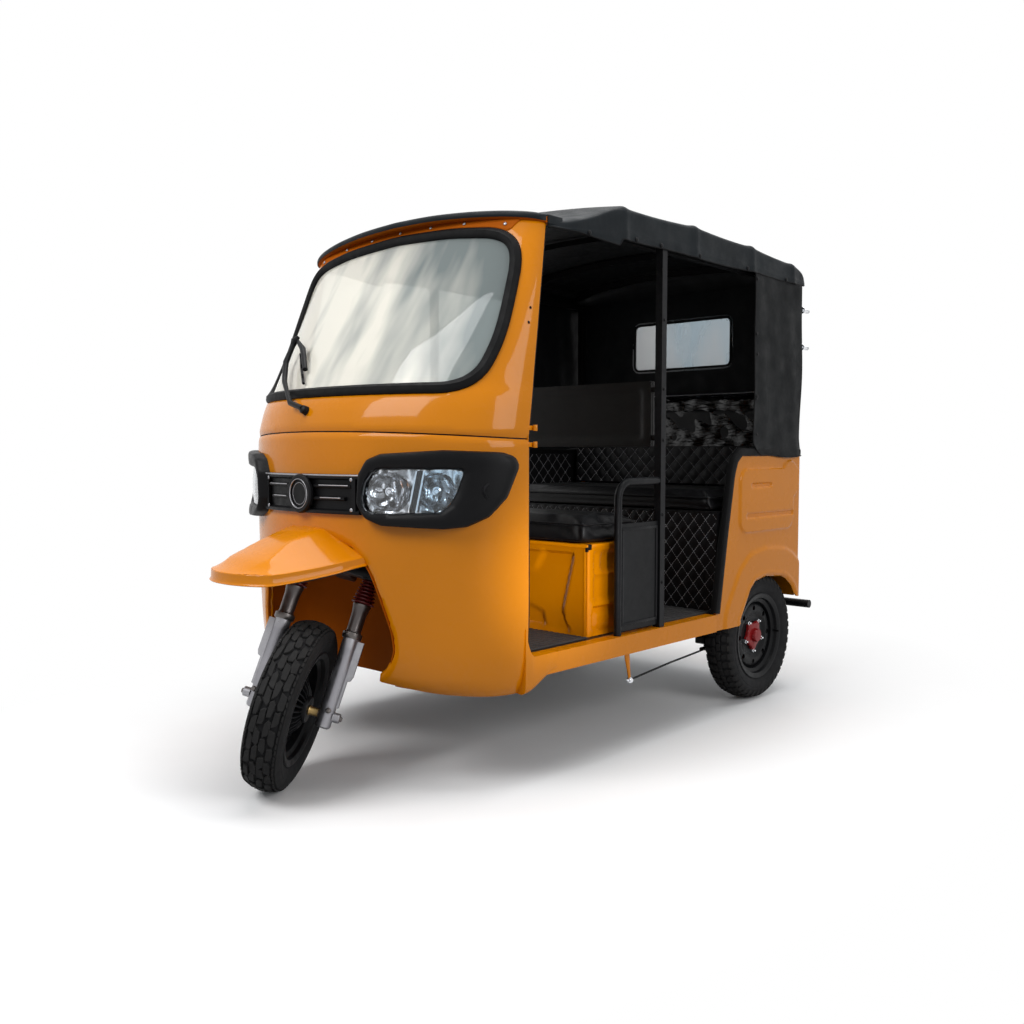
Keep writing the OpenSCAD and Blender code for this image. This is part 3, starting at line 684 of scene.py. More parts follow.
def corner_unrolled(u, z, side):
    """A point of the lamp corner as distance round the cab and height."""
    x, y, z = corner(u, z)
    t = math.atan2((cab_y(z) - y) / cab_b(z), x / cab_a(z))
    return GIRTH * (t if side > 0 else math.pi - t), z


half_round = GIRTH * math.pi
hem_z = smooth_table(HEM, 1)


def hem_at(s):
    """Height of the cowl's lower edge, found step by step for a distance round the cab."""
    z = 300.0
    for k in range(25):
        z = max(HEM_LOW, hem_z(reroll(s, z)[1]))
    return z


mouth = [unroll(x, z) for x, z in resample(fillet(both(MOUTH), 40), 9)]
lens_holes = [[corner_unrolled(u, z, side) for u, z in resample(fillet(LENS_EDGE, 14), 9)]
              for side in (1, -1)]


def seam(s):
    """Height of the joint between cowl and screen surround, a little lower at the sides."""
    return 1058 + 24 * max(0.0, math.sin(s / GIRTH)) ** 1.5


cowl_edge = [(s, hem_at(s)) for s in np.linspace(0, half_round, 160)]
cowl_edge += [(s, seam(s)) for s in np.linspace(half_round, 0, 120)]
flat, tris = patch(cowl_edge, [mouth] + lens_holes, 13.0)
ROLL = 30
verts = []
for (s, z), d in zip(flat, distance_to(flat, mouth)):
    x, y, z = reroll(s, z)
    y += ROLL - math.sqrt(ROLL ** 2 - min(max(0.0, ROLL - d), 29.5) ** 2)
    k = max(0.0, 12 - (seam(s) - z)) / 12
    verts.append((x * (1 - 0.006 * k * k), y + 4 * k * k * math.sin(s / GIRTH), z))
piece("front_cowl_panel", Shape().add(verts, tris), PAINT, replaces=["front_cowl"], wall=9, bevel=1.6)


def rounded(pts, step, reach):
    """A closed outline drawn as an even, rounder line."""
    p = np.array(resample(pts, step))
    k = max(1, int(reach / step))
    return [tuple(q) for q in sum(np.roll(p, i, axis=0) for i in range(-k, k + 1)) / (2 * k + 1)]


screen_line = rounded(fillet(both(SCREEN), 60), 8, 44)
screen_edge = [unroll(x, z) for x, z in screen_line]
top = [(s, eave_z(abs(reroll(s, 1730)[0])) + 3) for s in np.linspace(half_round, 0, 150)]
frame_edge = [(s, seam(s) + 4) for s in np.linspace(0, half_round, 150)] + top
flat, tris = patch(frame_edge, [screen_edge], 13.0)
verts = []
for (s, z), d in zip(flat, distance_to(flat, screen_edge)):
    k = max(0.0, 10 - d) / 10
    x, y, z = reroll(s, z)
    m = max(0.0, 12 - (z - seam(s) - 4)) / 12
    verts.append((x * (1 - 0.006 * m * m), y + (5 * k * k + 4 * m * m) * math.sin(s / GIRTH), z))
piece("screen_surround", Shape().add(verts, tris), PAINT, replaces=["screen_frame"], wall=9, bevel=1.6)

# Wheel well: one wall that runs back from the mouth's edge, in the darker paint as painted shade
mouth_x = smooth_table(WELL, 1)
rows = []
for z in np.concatenate([np.linspace(274, 690, 48), np.linspace(696, 751, 12)]):
    w = mouth_x(z) + 4
    y0 = skin(w, z) + 5
    back = 424 - 150 * max(0.0, (z - 600) / 152) ** 2
    plan = [(w * math.copysign(abs(math.cos(a)) ** 0.8, math.cos(a)), y0 + (back - y0) * math.sin(a) ** 0.75)
            for a in np.linspace(0, math.pi, 61)]
    rows.append([(x, y, max(z, max(HEM_LOW, hem_z(y)) + 5 - 0.02 * (690 - z))) for x, y in plan])
rows.append([(x * 0.9, y - 8, 754) for x, y, z in rows[-1]])
rows.append([(x * 0.3, 200, 756) for x, y, z in rows[-1]])
piece("wheel_well", Shape().grid(rows), SHADE_PAINT, replaces=["wheel_house"], wall=3, outward=False, even=False)

# Each pillar's return, behind its thin skin
rings = []
for z in np.linspace(402, 1716, 60):
    x, y = cab_a(z), cab_y(z)
    rings.append([(x - dx, y - dy, z) for dx, dy in ((1, 3), (1, 0.5), (20, 0.5), (20, 26), (17, 26), (17, 3.5))])
piece("pillar_returns", Shape().loft(rings).mirrored(), PAINT)

# Dark backing behind the seam between cowl and screen surround
shape = Shape().grid([[reroll(s, seam(s) + dz, off) for s in np.linspace(0, half_round, 120)]
                      for dz, off in ((-18, -10.5), (2, -6.5), (22, -10.5))])
piece("cab_seam_backing", shape, RUBBER, wall=1.5)

# Dark rubber strip down each pillar's rear edge
rings = [[(cab_a(z) - 11 + 9 * math.cos(a), cab_y(z) + 4.5 + 5.5 * math.sin(a), z) for a in turn(12)]
         for z in np.linspace(404, 1712, 50)]
piece("pillar_seals", Shape().loft(rings).mirrored(), RUBBER)


def along_skin(outline, profile):
    """A profile of (across, out) carried round a closed outline that lies on the cab skin."""
    pts = [Vector((x, skin(x, z), z)) for x, z in outline]
    rings = []
    n = len(pts)
    for i, p in enumerate(pts):
        out = skin_normal(p.x, p.z)
        t = (pts[(i + 1) % n] - pts[i - 1]).normalized()
        across = out.cross(t).normalized()
        rings.append([tuple(p + across * a + out * h) for a, h in profile])
    return rings


lip = [(19 * math.cos(a), (13 if math.sin(a) > 0 else 12) * math.sin(a)) for a in turn(16)]
lip = [(a, h + (2.2 if abs(a) < 5 and h > 0 else 0.0)) for a, h in lip]
shape = Shape().grid(along_skin(inset(screen_line, 11), lip), wrap=True, wrap_rows=True)
piece("screen_gasket", shape, RUBBER, replaces=["screen_rubber"])

flat, tris = patch(inset(screen_line, 20), [], 26.0)
shape = Shape().add([(x, skin(x, z, -3), z) for x, z in flat], tris)
piece("screen_pane", shape, GLASS, replaces=["windscreen"], wall=5)

# Eave over the screen, in the darker paint: painted shade on its underside
def eave_front(x):
    """How far back the eave's front edge lies."""
    return 642 - 132 * math.sqrt(max(0.0, 1 - (x / 580) ** 2))


rings = []
for x in np.linspace(-574, 574, 90):
    y0 = eave_front(x)
    z = eave_z(abs(x))
    nose = [(y0 + 11 - 11 * math.sin(a), z + 11 - 11 * math.cos(a)) for a in np.linspace(0, math.pi, 9)]
    prof = [(700.6, z), (y0 + 40, z - 0.5)] + nose + [(y0 + 40, z + 22.5), (700.6, z + 22)]
    rings.append([(x, y, h) for y, h in prof])
piece("eave", Shape().loft(rings), SHADE_PAINT, replaces=["front_eave"], angle=50)


def off_skin(x, z, off):
    """A point that stands off the cab skin, seen from the front."""
    return tuple(Vector((x, skin(x, z), z)) + skin_normal(x, z) * off)


# Black binding that wraps the eave's front edge
rings = []
for x in np.linspace(-576, 576, 90):
    y0 = eave_front(x) + 11
    z = eave_z(abs(x)) + 11
    outer, inner = ([(y0 - d * math.sin(a), z - d * math.cos(a)) for a in np.radians(np.linspace(a0, a1, 9))]
                    for d, a0, a1 in ((14, 62, 180), (10.6, 180, 62)))
    rings.append([(x, y, h) for y, h in outer + [(701, z + 14), (701, z + 11.4)] + inner])
shape = Shape().loft(rings)
for sx in (1, -1):
    z = eave_z(574)
    shape.box((sx * 573.5, 634, z - 3), (sx * 578, 703, z + 25), 2)
piece("eave_binding", shape, CANVAS, angle=50)

# Fascia under the eave, down to the gasket, in the darker paint: painted shade that the eave casts on the screen
# surround
crown = [(x, z) for x, z in screen_line if z > 1600]


def top_of(x):
    """Height of the screen's upper edge."""
    return min(crown, key=lambda q: abs(q[0] - x))[1]


rows = []
for x in np.linspace(-505, 505, 90):
    z1 = eave_z(abs(x)) - 1
    z0 = top_of(x) + 6
    z0 += (z1 - 2 - z0) * float(ease((abs(x) - 470) / 34))
    rows.append([off_skin(x, z0 + (z1 - z0) * t, h)
                  for t, h in ((0, 0.8), (0.08, 3.4), (0.5, 4.2), (0.92, 5.0), (1, 5.0))])
piece("eave_fascia", Shape().grid(rows), SHADE_PAINT, wall=2)


def dome(shape, centre, normal, r, h, n=12):
    """A low round head standing on a surface."""
    normal = Vector(normal).normalized()
    side = normal.orthogonal().normalized()
    up = normal.cross(side)
    c = Vector(centre)
    rings = []
    for rr, hh in ((r, -0.5), (r, 0.25 * h), (0.86 * r, 0.68 * h), (0.5 * r, 0.95 * h), (0.08 * r, h)):
        rings.append([tuple(c + (side * math.cos(TAU * k / n) + up * math.sin(TAU * k / n)) * rr + normal * hh)
                      for k in range(n)])
    return shape.loft(rings)


shape = Shape()
for x in (-460, -300, -150, 0, 150, 300, 460):
    z = 0.5 * (top_of(x) + 6 + eave_z(abs(x)))
    dome(shape, off_skin(x, z, 5.2), skin_normal(x, z), 6, 3.6)
piece("eave_screws", shape, STEEL)

# Mirror mounting holes in each pillar, drawn as low black domes: painted shade where the holes would be dark
shape = Shape()
t = 0.14
for sx in (1, -1):
    for z in (1454, 1409):
        p = reroll(GIRTH * t, z, 0.6)
        dome(shape, (sx * p[0], p[1], z), (sx * math.cos(t), -math.sin(t) * 0.6, 0.12), 4.5, 0.6)
piece("mirror_holes", shape, RUBBER)

# Roof cover: one sheet from the front edge over the bows and down to its valance

ROOF_FRONT, ROOF_REAR = 636, 2262
CANOPY = [(636, 578, 1742, 1788), (701, 586, 1746, 1790), (800, 604, 1772, 1822), (975, 612, 1826, 1868),
          (1000, 612, 1827, 1869), (1414, 612, 1834, 1873), (1829, 612, 1822, 1864), (2160, 611, 1798, 1846),
          (2240, 609, 1776, 1826), (2262, 604, 1754, 1798)]
roof_w, roof_side, roof_top = (smooth_table(CANOPY, c) for c in (1, 2, 3))
BOWS = [988, 1414, 1819, 2150]


def sag(y):
    """How far the cover dips between two bows, most just behind and ahead of each."""
    stops = [ROOF_FRONT] + BOWS + [ROOF_REAR]
    for a, b in zip(stops, stops[1:]):
        if a <= y <= b and b - a > 150:
            return 11.0 * math.sin(math.pi * (y - a) / (b - a)) ** 0.8
    return 0.0


def ridge(y):
    """One at a bow, falling to nought beside it."""
    return sum(math.exp(-((y - b) / 22.0) ** 2) for b in BOWS)


def hem_z_at(y):
    """The valance's lower edge: a deeper loose flap ahead of the first bow."""
    flap = 1 - min(1.0, max(0.0, (y - 958) / 12))
    return 1719 + 2 * math.sin(y / 90) - flap * (12 + 12 * max(0.0, (y - 760) / 200))


def roof_ring(y):
    """Half section of the cover from the valance's hem up to the crown, left side."""
    w, shoulder, crown = roof_w(y), roof_side(y), roof_top(y)
    dip = sag(y)
    shoulder -= 0.6 * dip
    hem = hem_z_at(y)
    drop = shoulder - 18 - hem
    ripple = 2.2 * math.sin(y / 47.0) + 1.5 * math.sin(y / 21.0 + 1.0)
    fold = 5.0 * ridge(y) - 0.35 * dip
    pts = []
    for k in range(9):
        t = k / 8
        bulge = ripple * (1 - t) ** 2
        stitched = 1.6 if 0.2 < t < 0.32 else 0.0
        pts.append((w - 4 + fold * (1 - 0.3 * t) + bulge * 0.5 + stitched, y, hem + drop * t))
    xs = w * 0.955
    for k in range(1, 6):
        t = k / 6
        a = t * math.pi / 2
        pts.append((w - 4 + 0.7 * fold * (1 - t) - (w - xs) * (1 - math.cos(a)), y, shoulder - 18 + 18 * math.sin(a)))
    for k in range(25):
        u = 1 - k / 24
        pts.append((xs * u, y, shoulder + (crown - shoulder) * (1 - u * u) - 0.4 * dip * (1 - u ** 6)))
    return pts


ys = set(np.arange(ROOF_FRONT, ROOF_REAR, 17.0)) | {b + d for b in BOWS for d in (-13, -8, 0, 8, 13)}
rows = []
for y in sorted(ys | {2250, ROOF_REAR}):
    half = [(p[0], p[1], p[2] + (3.0 * ridge(y) if p[2] > roof_side(y) - 12 else 0.0)) for p in roof_ring(y)]
    rows.append(half + [(-p[0], p[1], p[2]) for p in reversed(half[:-1])])
last = rows[-1]
for t in (0.12, 0.4, 0.7, 1.0):
    back = ROOF_REAR + (3 + 3 * t) * math.sin(min(1, t * 2) * math.pi / 2)
    rows.append([(p[0] * (1 - 0.004 * t), back, p[2] + (1727 - p[2]) * t) for p in last])
# Its inner faces take the darker canvas: painted shade under the roof.
canopy = piece("roof_cover", Shape().grid(rows), CANVAS, replaces=["canopy"], wall=2.6, angle=60,
               inner_mat=SHADED_CANVAS)
arc = run(rows[50])

# Snaps along the valance's hem and a bound hem edge
shape = Shape()
for y in (810, 1050, 1196, 1436, 1779, 2090):
    for sx in (1, -1):
        p = roof_ring(y)[1]
        dome(shape, (sx * (p[0] + 0.4), y, hem_z_at(y) + 9), (sx, 0, 0), 8, 5)
for x in np.linspace(-520, 520, 5):
    dome(shape, (x, 2268.6, 1738), (0, 1, 0), 8, 4)
piece("valance_snaps", shape, PLASTIC)
path = [(roof_ring(y)[0][0] - 1.3, y, hem_z_at(y) + 1) for y in np.arange(ROOF_FRONT, ROOF_REAR + 1, 9.0)]
piece("valance_binding", Shape().tube(path, 2.6, 8).mirrored(), RUBBER)


# Front: lamps, grille, wiper, fender

def rays(outline, centre, count):
    """An outline sampled along rays from a centre, so that two outlines pair up point by point."""
    p = np.array(resample(list(outline), 2.0), float) - np.array(centre)
    ang = np.unwrap(np.arctan2(p[:, 1], p[:, 0]))
    if ang[-1] < ang[0]:
        p, ang = p[::-1], ang[::-1]
    ang = np.mod(ang, TAU)
    order = np.argsort(ang)
    ang, rad = ang[order], np.linalg.norm(p, axis=1)[order]
    ang = np.concatenate([ang[-3:] - TAU, ang, ang[:3] + TAU])
    rad = np.concatenate([rad[-3:], rad, rad[:3]])
    out = []
    for k in range(count):
        a = TAU * k / count
        r = float(np.interp(a, ang, rad))
        out.append((centre[0] + r * math.cos(a), centre[1] + r * math.sin(a)))
    return out


LAMP_CENTRE = (452, 905)
bezel_outer = rays(fillet(LAMP, 26), LAMP_CENTRE, 200)
bezel_inner = rays(fillet(LENS_EDGE, 16), LAMP_CENTRE, 200)


def blend_ring(t, off):
    """A ring between the bezel's outer and inner edge, standing off the skin."""
    return [corner(a[0] + (b[0] - a[0]) * t, a[1] + (b[1] - a[1]) * t, off)
            for a, b in zip(bezel_outer, bezel_inner)]


profile = [(0.0, 0.5), (0.0, 16), (0.02, 26), (0.07, 33), (0.2, 35.5), (0.5, 35), (0.8, 33), (0.9, 29), (0.985, 21),
           (1.0, 16), (1.0, -30), (0.97, -30), (0.96, 0.5)]
shape = Shape().grid([blend_ring(t, off) for t, off in profile], wrap=True, wrap_rows=True).mirrored()
piece("lamp_surrounds", shape, PLASTIC, replaces=["lamp_bezels"])

# Two chrome bowls behind each lens, with a divider and bulbs
BOWLS = [(378, 903, 66, 58), (520, 906, 58, 56)]
flat, tris = patch(bezel_inner, [], 6.0)
verts = []
for u, z in flat:
    off = 2.0
    for cu, cz, ru, rz in BOWLS:
        q = ((u - cu) / ru) ** 2 + ((z - cz) / rz) ** 2
        if q < 1:
            facet = 4.5 * math.cos(7 * math.atan2(z - cz, u - cu) + 5 * q) * min(1.0, 2 * q) * (1 - q)
            off = min(off, 2.0 - 46 * (1 - q) ** 0.75 + facet)
    verts.append(corner(u, z, off))
piece("lamp_reflectors", Shape().add(verts, tris).mirrored(), MIRROR, wall=2, angle=20)

# Dark housings behind the reflectors
verts = [corner(u, z, -6 - 56 * min(1.0, d / 22) ** 0.6)
         for (u, z), d in zip(flat, distance_to(flat, bezel_inner))]
piece("lamp_housings", Shape().add(verts, tris).mirrored(), PLASTIC, wall=2)


def corner_frame(u, z, off):
    """Place a form with its third axis pointing straight out of the lamp corner."""
    base = Vector(corner(u, z, off))
    out = Vector((ROOT2 / 2, -ROOT2 / 2, 0))
    across = Vector((ROOT2 / 2, ROOT2 / 2, 0))
    return lambda p: tuple(base + across * p[0] + Vector((0, 0, p[1])) + out * p[2])


def lean(p):
    """Place a form on the slanting divider between the two bowls."""
    return corner_frame(462, 905, 6)((p[0] + 0.2 * p[1], p[1], p[2]))


BULB = [(0.1, -6), (13, -6), (13, 4), (8, 6), (8, 22), (6, 27), (0.1, 29)]
shape = Shape()
for cu, cz, ru, rz in BOWLS:
    shape.lathe(BULB, corner_frame(cu, cz, -40), 20)
piece("lamp_bulbs", shape.mirrored(), CHROME)
bar = Shape().box((-9, -62, -34), (9, 62, 5), 3).moved(lean)
bar.lathe([(0.1, -3), (9, -3), (9, 2), (7, 3), (0.1, 3)], corner_frame(392, 868, 6), 18)
piece("lamp_dividers", bar.mirrored(), PLASTIC)
edge_bars = Shape()
for dx in (-11, 11):
    edge_bars.tube([lean((dx, z, 3)) for z in (-60, 0, 60)], 3.2, 8)
piece("lamp_divider_edges", edge_bars.mirrored(), CHROME)

flat, tris = patch(inset(resample(bezel_inner, 6), 1.5), [], 10.0)
verts = [corner(u, z, 17 + 4.5 * min(1.0, d / 45)) for (u, z), d in zip(flat, distance_to(flat, bezel_inner))]
piece("lamp_lenses", Shape().add(verts, tris).mirrored(), LENS, replaces=["head_lamps"], wall=3)

# Indicator in each bezel's outer end
TILT = Matrix.Rotation(math.radians(38), 3, "Y")


def turned(p):
    """Place a form on the indicator's slanting face."""
    return corner_frame(676, 908, 27)(tuple(TILT @ Vector(p)))


shape = Shape().lathe([(25, -6), (25, 4), (22, 5.5), (19, 4), (17, 0), (17, -6)], turned, 28, closed=True)
piece("indicator_rings", shape.mirrored(), PLASTIC)
shape = Shape().lathe([(0.1, -4), (17, -4), (17, -1), (11, 1.6), (0.1, 2.6)], turned, 24)
piece("indicator_lenses", shape.mirrored(), RUBBER)
glint = Shape()
dome(glint, turned((3, -2, 2.4)), (0.7, -0.7, 0.2), 4, 2.5)
piece("indicator_bulbs", glint.mirrored(), CHROME)

# Grille band: a dark tray, slats and a rim, with a bare ringed badge
def on_nose(x, z, off):
    """A point straight ahead of the cab skin."""
    return (x, skin(x, z) - off, z)


low, high = 833.0, 954.0
tray = [(low, 1), (low, 12), (low + 4, 14), (low + 10, 13.6), (low + 15, 2), (high - 18, 2), (high - 13, 13.8),
        (high - 4, 14), (high, 12), (high, 1)]
shape = Shape().loft([[on_nose(x, z, off) for z, off in tray] for x in np.linspace(-246, 246, 60)])
slat = [(-6, 3), (-6.5, 8), (-3, 12), (2.5, 12), (5, 7), (5, 3)]
for z, a, b in ((918, 60, 214), (880, 60, 190)):
    for sx in (1, -1):
        shape.loft([[on_nose(sx * x, z + dz, off) for dz, off in slat] for x in np.linspace(a, b, 24)])
for x in (-226, 226):
    shape.loft([[on_nose(x + dx, z, off) for dx, off in ((-8, 5), (-7, 13), (7, 13), (8, 5))]
                for z in np.linspace(low + 8, high - 8, 8)])
piece("grille_band", shape, PLASTIC, replaces=["front_grille"])
shape = Shape().tube([on_nose(x, high - 3.5, 12.6) for x in np.linspace(-244, 244, 50)], 3.0, 10)
for z, a, b in ((918, 84, 205), (880, 90, 176)):
    for sx in (1, -1):
        shape.tube([on_nose(sx * x, z + 2, 11.4) for x in np.linspace(a, b, 14)], 1.8, 8)
for x in (-218, 218):
    for z in (low + 14, high - 16):
        dome(shape, on_nose(x, z, 12.6), skin_normal(x, z), 6, 3)
piece("grille_trim", shape, STEEL)


def face(p):
    """Place a form on the badge's seat."""
    return (p[0], skin(0, 892) - 12 - p[2], 892 + p[1])


shape = Shape().lathe([(61, 0), (61, 8), (57, 13), (50, 14), (47, 13), (45, 9.5), (44, 8.5), (0.1, 8.5)], face, 64)
piece("badge_disc", shape, PLASTIC)
shape = Shape().lathe([(47.5, 12.2), (46.5, 14.4), (45, 14.4), (44, 12.2)], face, 64, closed=True)
shape.lathe([(35, 8), (34.5, 9.4), (33.4, 9.4), (33, 8)], face, 56, closed=True)
piece("badge_rings", shape, STEEL)

# Wiper: spindle cap, bent arm, hinged blade holder and blade
shape = Shape()
for sides, line in (
        (20, ((-26, 1150, 1, 15), (-26, 1150, 17, 13), (-26, 1150, 22, 6))),
        (14, ((-26, 1152, 17, 9), (-93, 1166, 25, 9), (-150, 1200, 27, 7), (-215, 1240, 28, 9),
              (-285, 1310, 30, 10), (-290, 1385, 34, 8))),
        (14, ((-293, 1362, 31, 8), (-288, 1384, 36, 13), (-280, 1400, 32, 6))),
        (12, ((-284, 1388, 28, 6), (-213, 1355, 24, 10), (-175, 1325, 21, 9), (-131, 1282, 16, 8)))):
    shape.tube([off_skin(*p[:3]) for p in line], [p[3] for p in line], sides)
blade = [(-240 + 130 * t, 1344 - 106 * t) for t in np.linspace(0, 1, 16)]
shape.tube([off_skin(x, z, 9) for x, z in blade], 5, 8)
for k in (2, 8, 13):
    x, z = blade[k]
    shape.tube([off_skin(x, z, 8), off_skin(x, z + 12, 20)], 3.6, 8)
piece("wiper_arm", shape, PLASTIC, replaces=["wiper"])

# Fender over the front wheel: a flat-topped wedge with a deep lip, run back to the cowl
FENDER = [(-146, 668, 34, 667, 668, 636), (-110, 685, 72, 680, 668, 636), (-75, 705, 96, 698, 669, 638),
          (-14, 733, 130, 722, 675, 645), (40, 756, 164, 745, 682, 653), (100, 776, 176, 760, 692, 664),
          (150, 791, 180, 768, 701, 676), (200, 800, 184, 772, 709, 684)]
fen_top, fen_x, fen_crease, fen_lip, fen_low = (smooth_table(FENDER, c) for c in (1, 2, 3, 4, 5))
fen_root = smooth_table([(0, 149), (73, 151), (141, 159), (178, 165), (229, 177), (250, 186)], 1)


def fen_half(y):
    """Half the fender's width."""
    return 150 + 0.345 * (y + 100)


def fender_height(x, y, d):
    """Height of the fender's top for a plan position at a distance d from its edge."""
    x = abs(x)
    z_top, crease, z_crease, z_lip = (f(y) for f in (fen_top, fen_x, fen_crease, fen_lip))
    if x < crease:
        z = z_crease + (z_top - z_crease) * (1 - (x / crease) ** 2.2) + 4 * max(0.0, x / crease - 0.82)
    else:
        z = z_lip + (z_crease - z_lip) * max(0.0, 1 - (x - crease) / max(6.0, fen_half(y) - crease)) ** 0.92
    return min(z, z_lip + 0.62 * d + 0.2)


front_edge = [(x, -146 + 46 * (abs(x) / 150) ** 2.2) for x in np.linspace(0, 150, 16)]
side_edge = [(fen_half(y), y) for y in np.linspace(-88, 184, 24)]
rear_edge = [(x, fen_root(x)) for x in np.linspace(240, 0, 20)]
half_open = front_edge[:-2] + [(150, -96)] + side_edge
half_edge = half_open + rear_edge[1:]
fender_plan = half_edge + [(-x, y) for x, y in reversed(half_edge[1:-1])]
open_edge = resample([(-x, y) for x, y in reversed(half_open[1:])] + half_open, 7.0, closed=False)
flat, tris = patch(fender_plan, [], 9.0)
edge = nearest(flat, np.array(open_edge))
shape = Shape().add([(x, y, fender_height(x, y, d)) for (x, y), d in zip(flat, edge)], tris)
rows = []
for t, out in ((0.0, 0.0), (0.06, 1.2), (0.75, 2.0), (0.9, 4.0), (1.0, 7.0)):
    line = []
    for i, (x, y) in enumerate(open_edge):
        a, b = open_edge[max(0, i - 1)], open_edge[min(len(open_edge) - 1, i + 1)]
        n = Vector((b[1] - a[1], a[0] - b[0])).normalized()
        z = fen_lip(y) + 0.2 + (fen_low(y) - fen_lip(y)) * t
        line.append((x + n.x * out, y + n.y * out, z))
    rows.append(line)
shape.grid(rows)
piece("fender_shell", shape, PAINT, replaces=["front_fender"], wall=3, angle=24, even=False)

# Stays under the fender's sides
STAY = [(0.93, 10 * (1 - 0.93), 7), (0.8, 10 * (1 - 0.8), 7), (0.78, 3, -9), (0.93, 2, -9)]
rings = [[(x * k, y + dy, fen_low(y) + dz) for k, dy, dz in STAY] for x, y in open_edge if y > -20]
shape = Shape()
for s in (-1, 1):
    shape.loft([ring for ring in rings if s * ring[0][0] > 0])
piece("fender_stays", shape, BLACK_METAL)


# Wheels and fork

STEER = Matrix.Rotation(math.radians(-24), 3, "X") @ Matrix.Rotation(math.radians(40), 3, "Z")
STEER_BASE = Vector((0, 114.193, 217.418))
LEAD, LEG_X = 125, 110
TYRE_R = 262


def steered(p):
    """From the turned fork's own frame, axis upward and wheel ahead, to the vehicle's."""
    return tuple(STEER_BASE + STEER @ Vector(p))


def fork_leg(s):
    """Places a form along one of the fork's legs."""
    return lambda p: steered((s * LEG_X + p[0], p[1] - LEAD, p[2]))


def front_wheel(p):
    """Places a form turned about the front axle."""
    return steered((p[2], p[1] - LEAD, -p[0]))


def rear_wheel(side):
    """Places a form turned about one rear wheel's axle."""
    return lambda p: (side * (520 + p[2]), 1980 + p[1], TYRE_R - side * p[0])


def jitter(k, spread):
    """A repeatable small offset for the k-th item."""
    return spread * math.sin(12.9898 * k + 78.233 * math.sin(k * 1.7))


def tread_point(phi, across, depth):
    """Point of the tread: angle round the wheel, distance over the crown, depth below its face."""
    a = across / 100
    r = 162 + (100 - depth) * math.cos(a)
    return (r * math.cos(phi), r * math.sin(phi), (100 - depth) * math.sin(a))


def tread_block(shape, place, phi, across, long, wide, corners, seed, deep=8.5, skew=0.0):
    """One tread block with a slightly irregular outline and an eased top edge."""
    ring = []
    for k in range(corners):
        a = TAU * (k + 0.5) / corners
        sx = abs(math.cos(a)) ** 0.45 * math.copysign(1, math.cos(a))
        sy = abs(math.sin(a)) ** 0.45 * math.copysign(1, math.sin(a))
        du = sx * long / 2 + jitter(seed + k, 0.1 * long)
        dv = sy * wide / 2 + jitter(seed + 3 * k, 0.08 * wide)
        ring.append((du + skew * dv, dv))
    levels = ((1.03, deep), (1.0, 1.6), (0.9, 0.0))
    shape.loft([[place(tread_point(phi + du * f / TYRE_R, across + dv * f, d)) for du, dv in ring]
                for f, d in levels])


CARCASS = [(160, 46), (171, 47.5), (178, 47.5), (183, 50), (190, 54.2), (200, 57.5), (212, 59), (214, 58), (217, 59),
           (228, 58.4), (236, 56), (243, 52)]


def carcass(shape, place):
    """A tyre's body without its tread."""
    base = [(162 + 92 * math.cos(a), 96 * math.sin(a)) for a in np.radians(np.linspace(27, -27, 13))]
    loop = CARCASS + base + [(r, -w) for r, w in reversed(CARCASS)] + [(164, -38), (164, 38)]
    shape.lathe(loop, place, 96, closed=True)


def front_tread(shape, place):
    """Four rows of skewed blocks between two rows of small ones."""
    for i in range(30):
        for j, across in enumerate((-33, -11, 11, 33)):
            phi = TAU * (i + 0.5 * (j % 2) + jitter(7 * i + j, 0.06)) / 30
            tread_block(shape, place, phi, across + jitter(i + 5 * j, 2.0), 49, 19.5, 7, 11 * i + j,
                        skew=(0.55 if (i + j) % 2 else -0.35))
    for i in range(76):
        for s in (-1, 1):
            tread_block(shape, place, TAU * (i + 0.25) / 76, s * 49.5, 18.5, 6, 6, i, 6)


def rear_tread(shape, place):
    """Two rows of blocks between shoulder lugs."""
    for i in range(44):
        for j, across in enumerate((-11, 11)):
            phi = TAU * (i + 0.5 * j) / 44
            tread_block(shape, place, phi, across, 32, 17, 8, 5 * i + j)
        for s in (-1, 1):
            phi = TAU * (i + 0.25 + 0.25 * s) / 44
            tread_block(shape, place, phi, s * 36, 25, 25, 8, 3 * i + s, 9)
            rings = []
            for r, w, half in ((252.5, 47, 12), (246, 53.5, 11), (236, 57.8, 9), (226, 59.6, 6)):
                rings.append([place((r * math.cos(phi + d / r), r * math.sin(phi + d / r), s * (w + o)))
                              for d, o in ((-half, -4), (-half, 0.6), (half, 0.6), (half, -4))])
            shape.loft(rings)


shape = Shape()
carcass(shape, front_wheel)
front_tread(shape, front_wheel)
piece("front_tyre_tread", shape, TYRE, "front_wheel", ["front_tyre"], angle=32)
for side, name in SIDES:
    shape = Shape()
    carcass(shape, rear_wheel(side))
    rear_tread(shape, rear_wheel(side))
    piece("rear_tyre_tread_" + name, shape, TYRE, "rear_wheel_" + name, ["rear_tyre_" + name], angle=32)

BARREL = [(174.5, 52), (176.5, 50), (174.5, 46.5), (166, 46.3), (160, 44), (159.5, 30), (146, 24)]
BARREL += [(rad, -h) for rad, h in reversed(BARREL)]
BARREL += [(168, -51), (156, -46), (152, -34), (139, -27), (139, 27), (152, 34), (156, 46), (168, 51)]


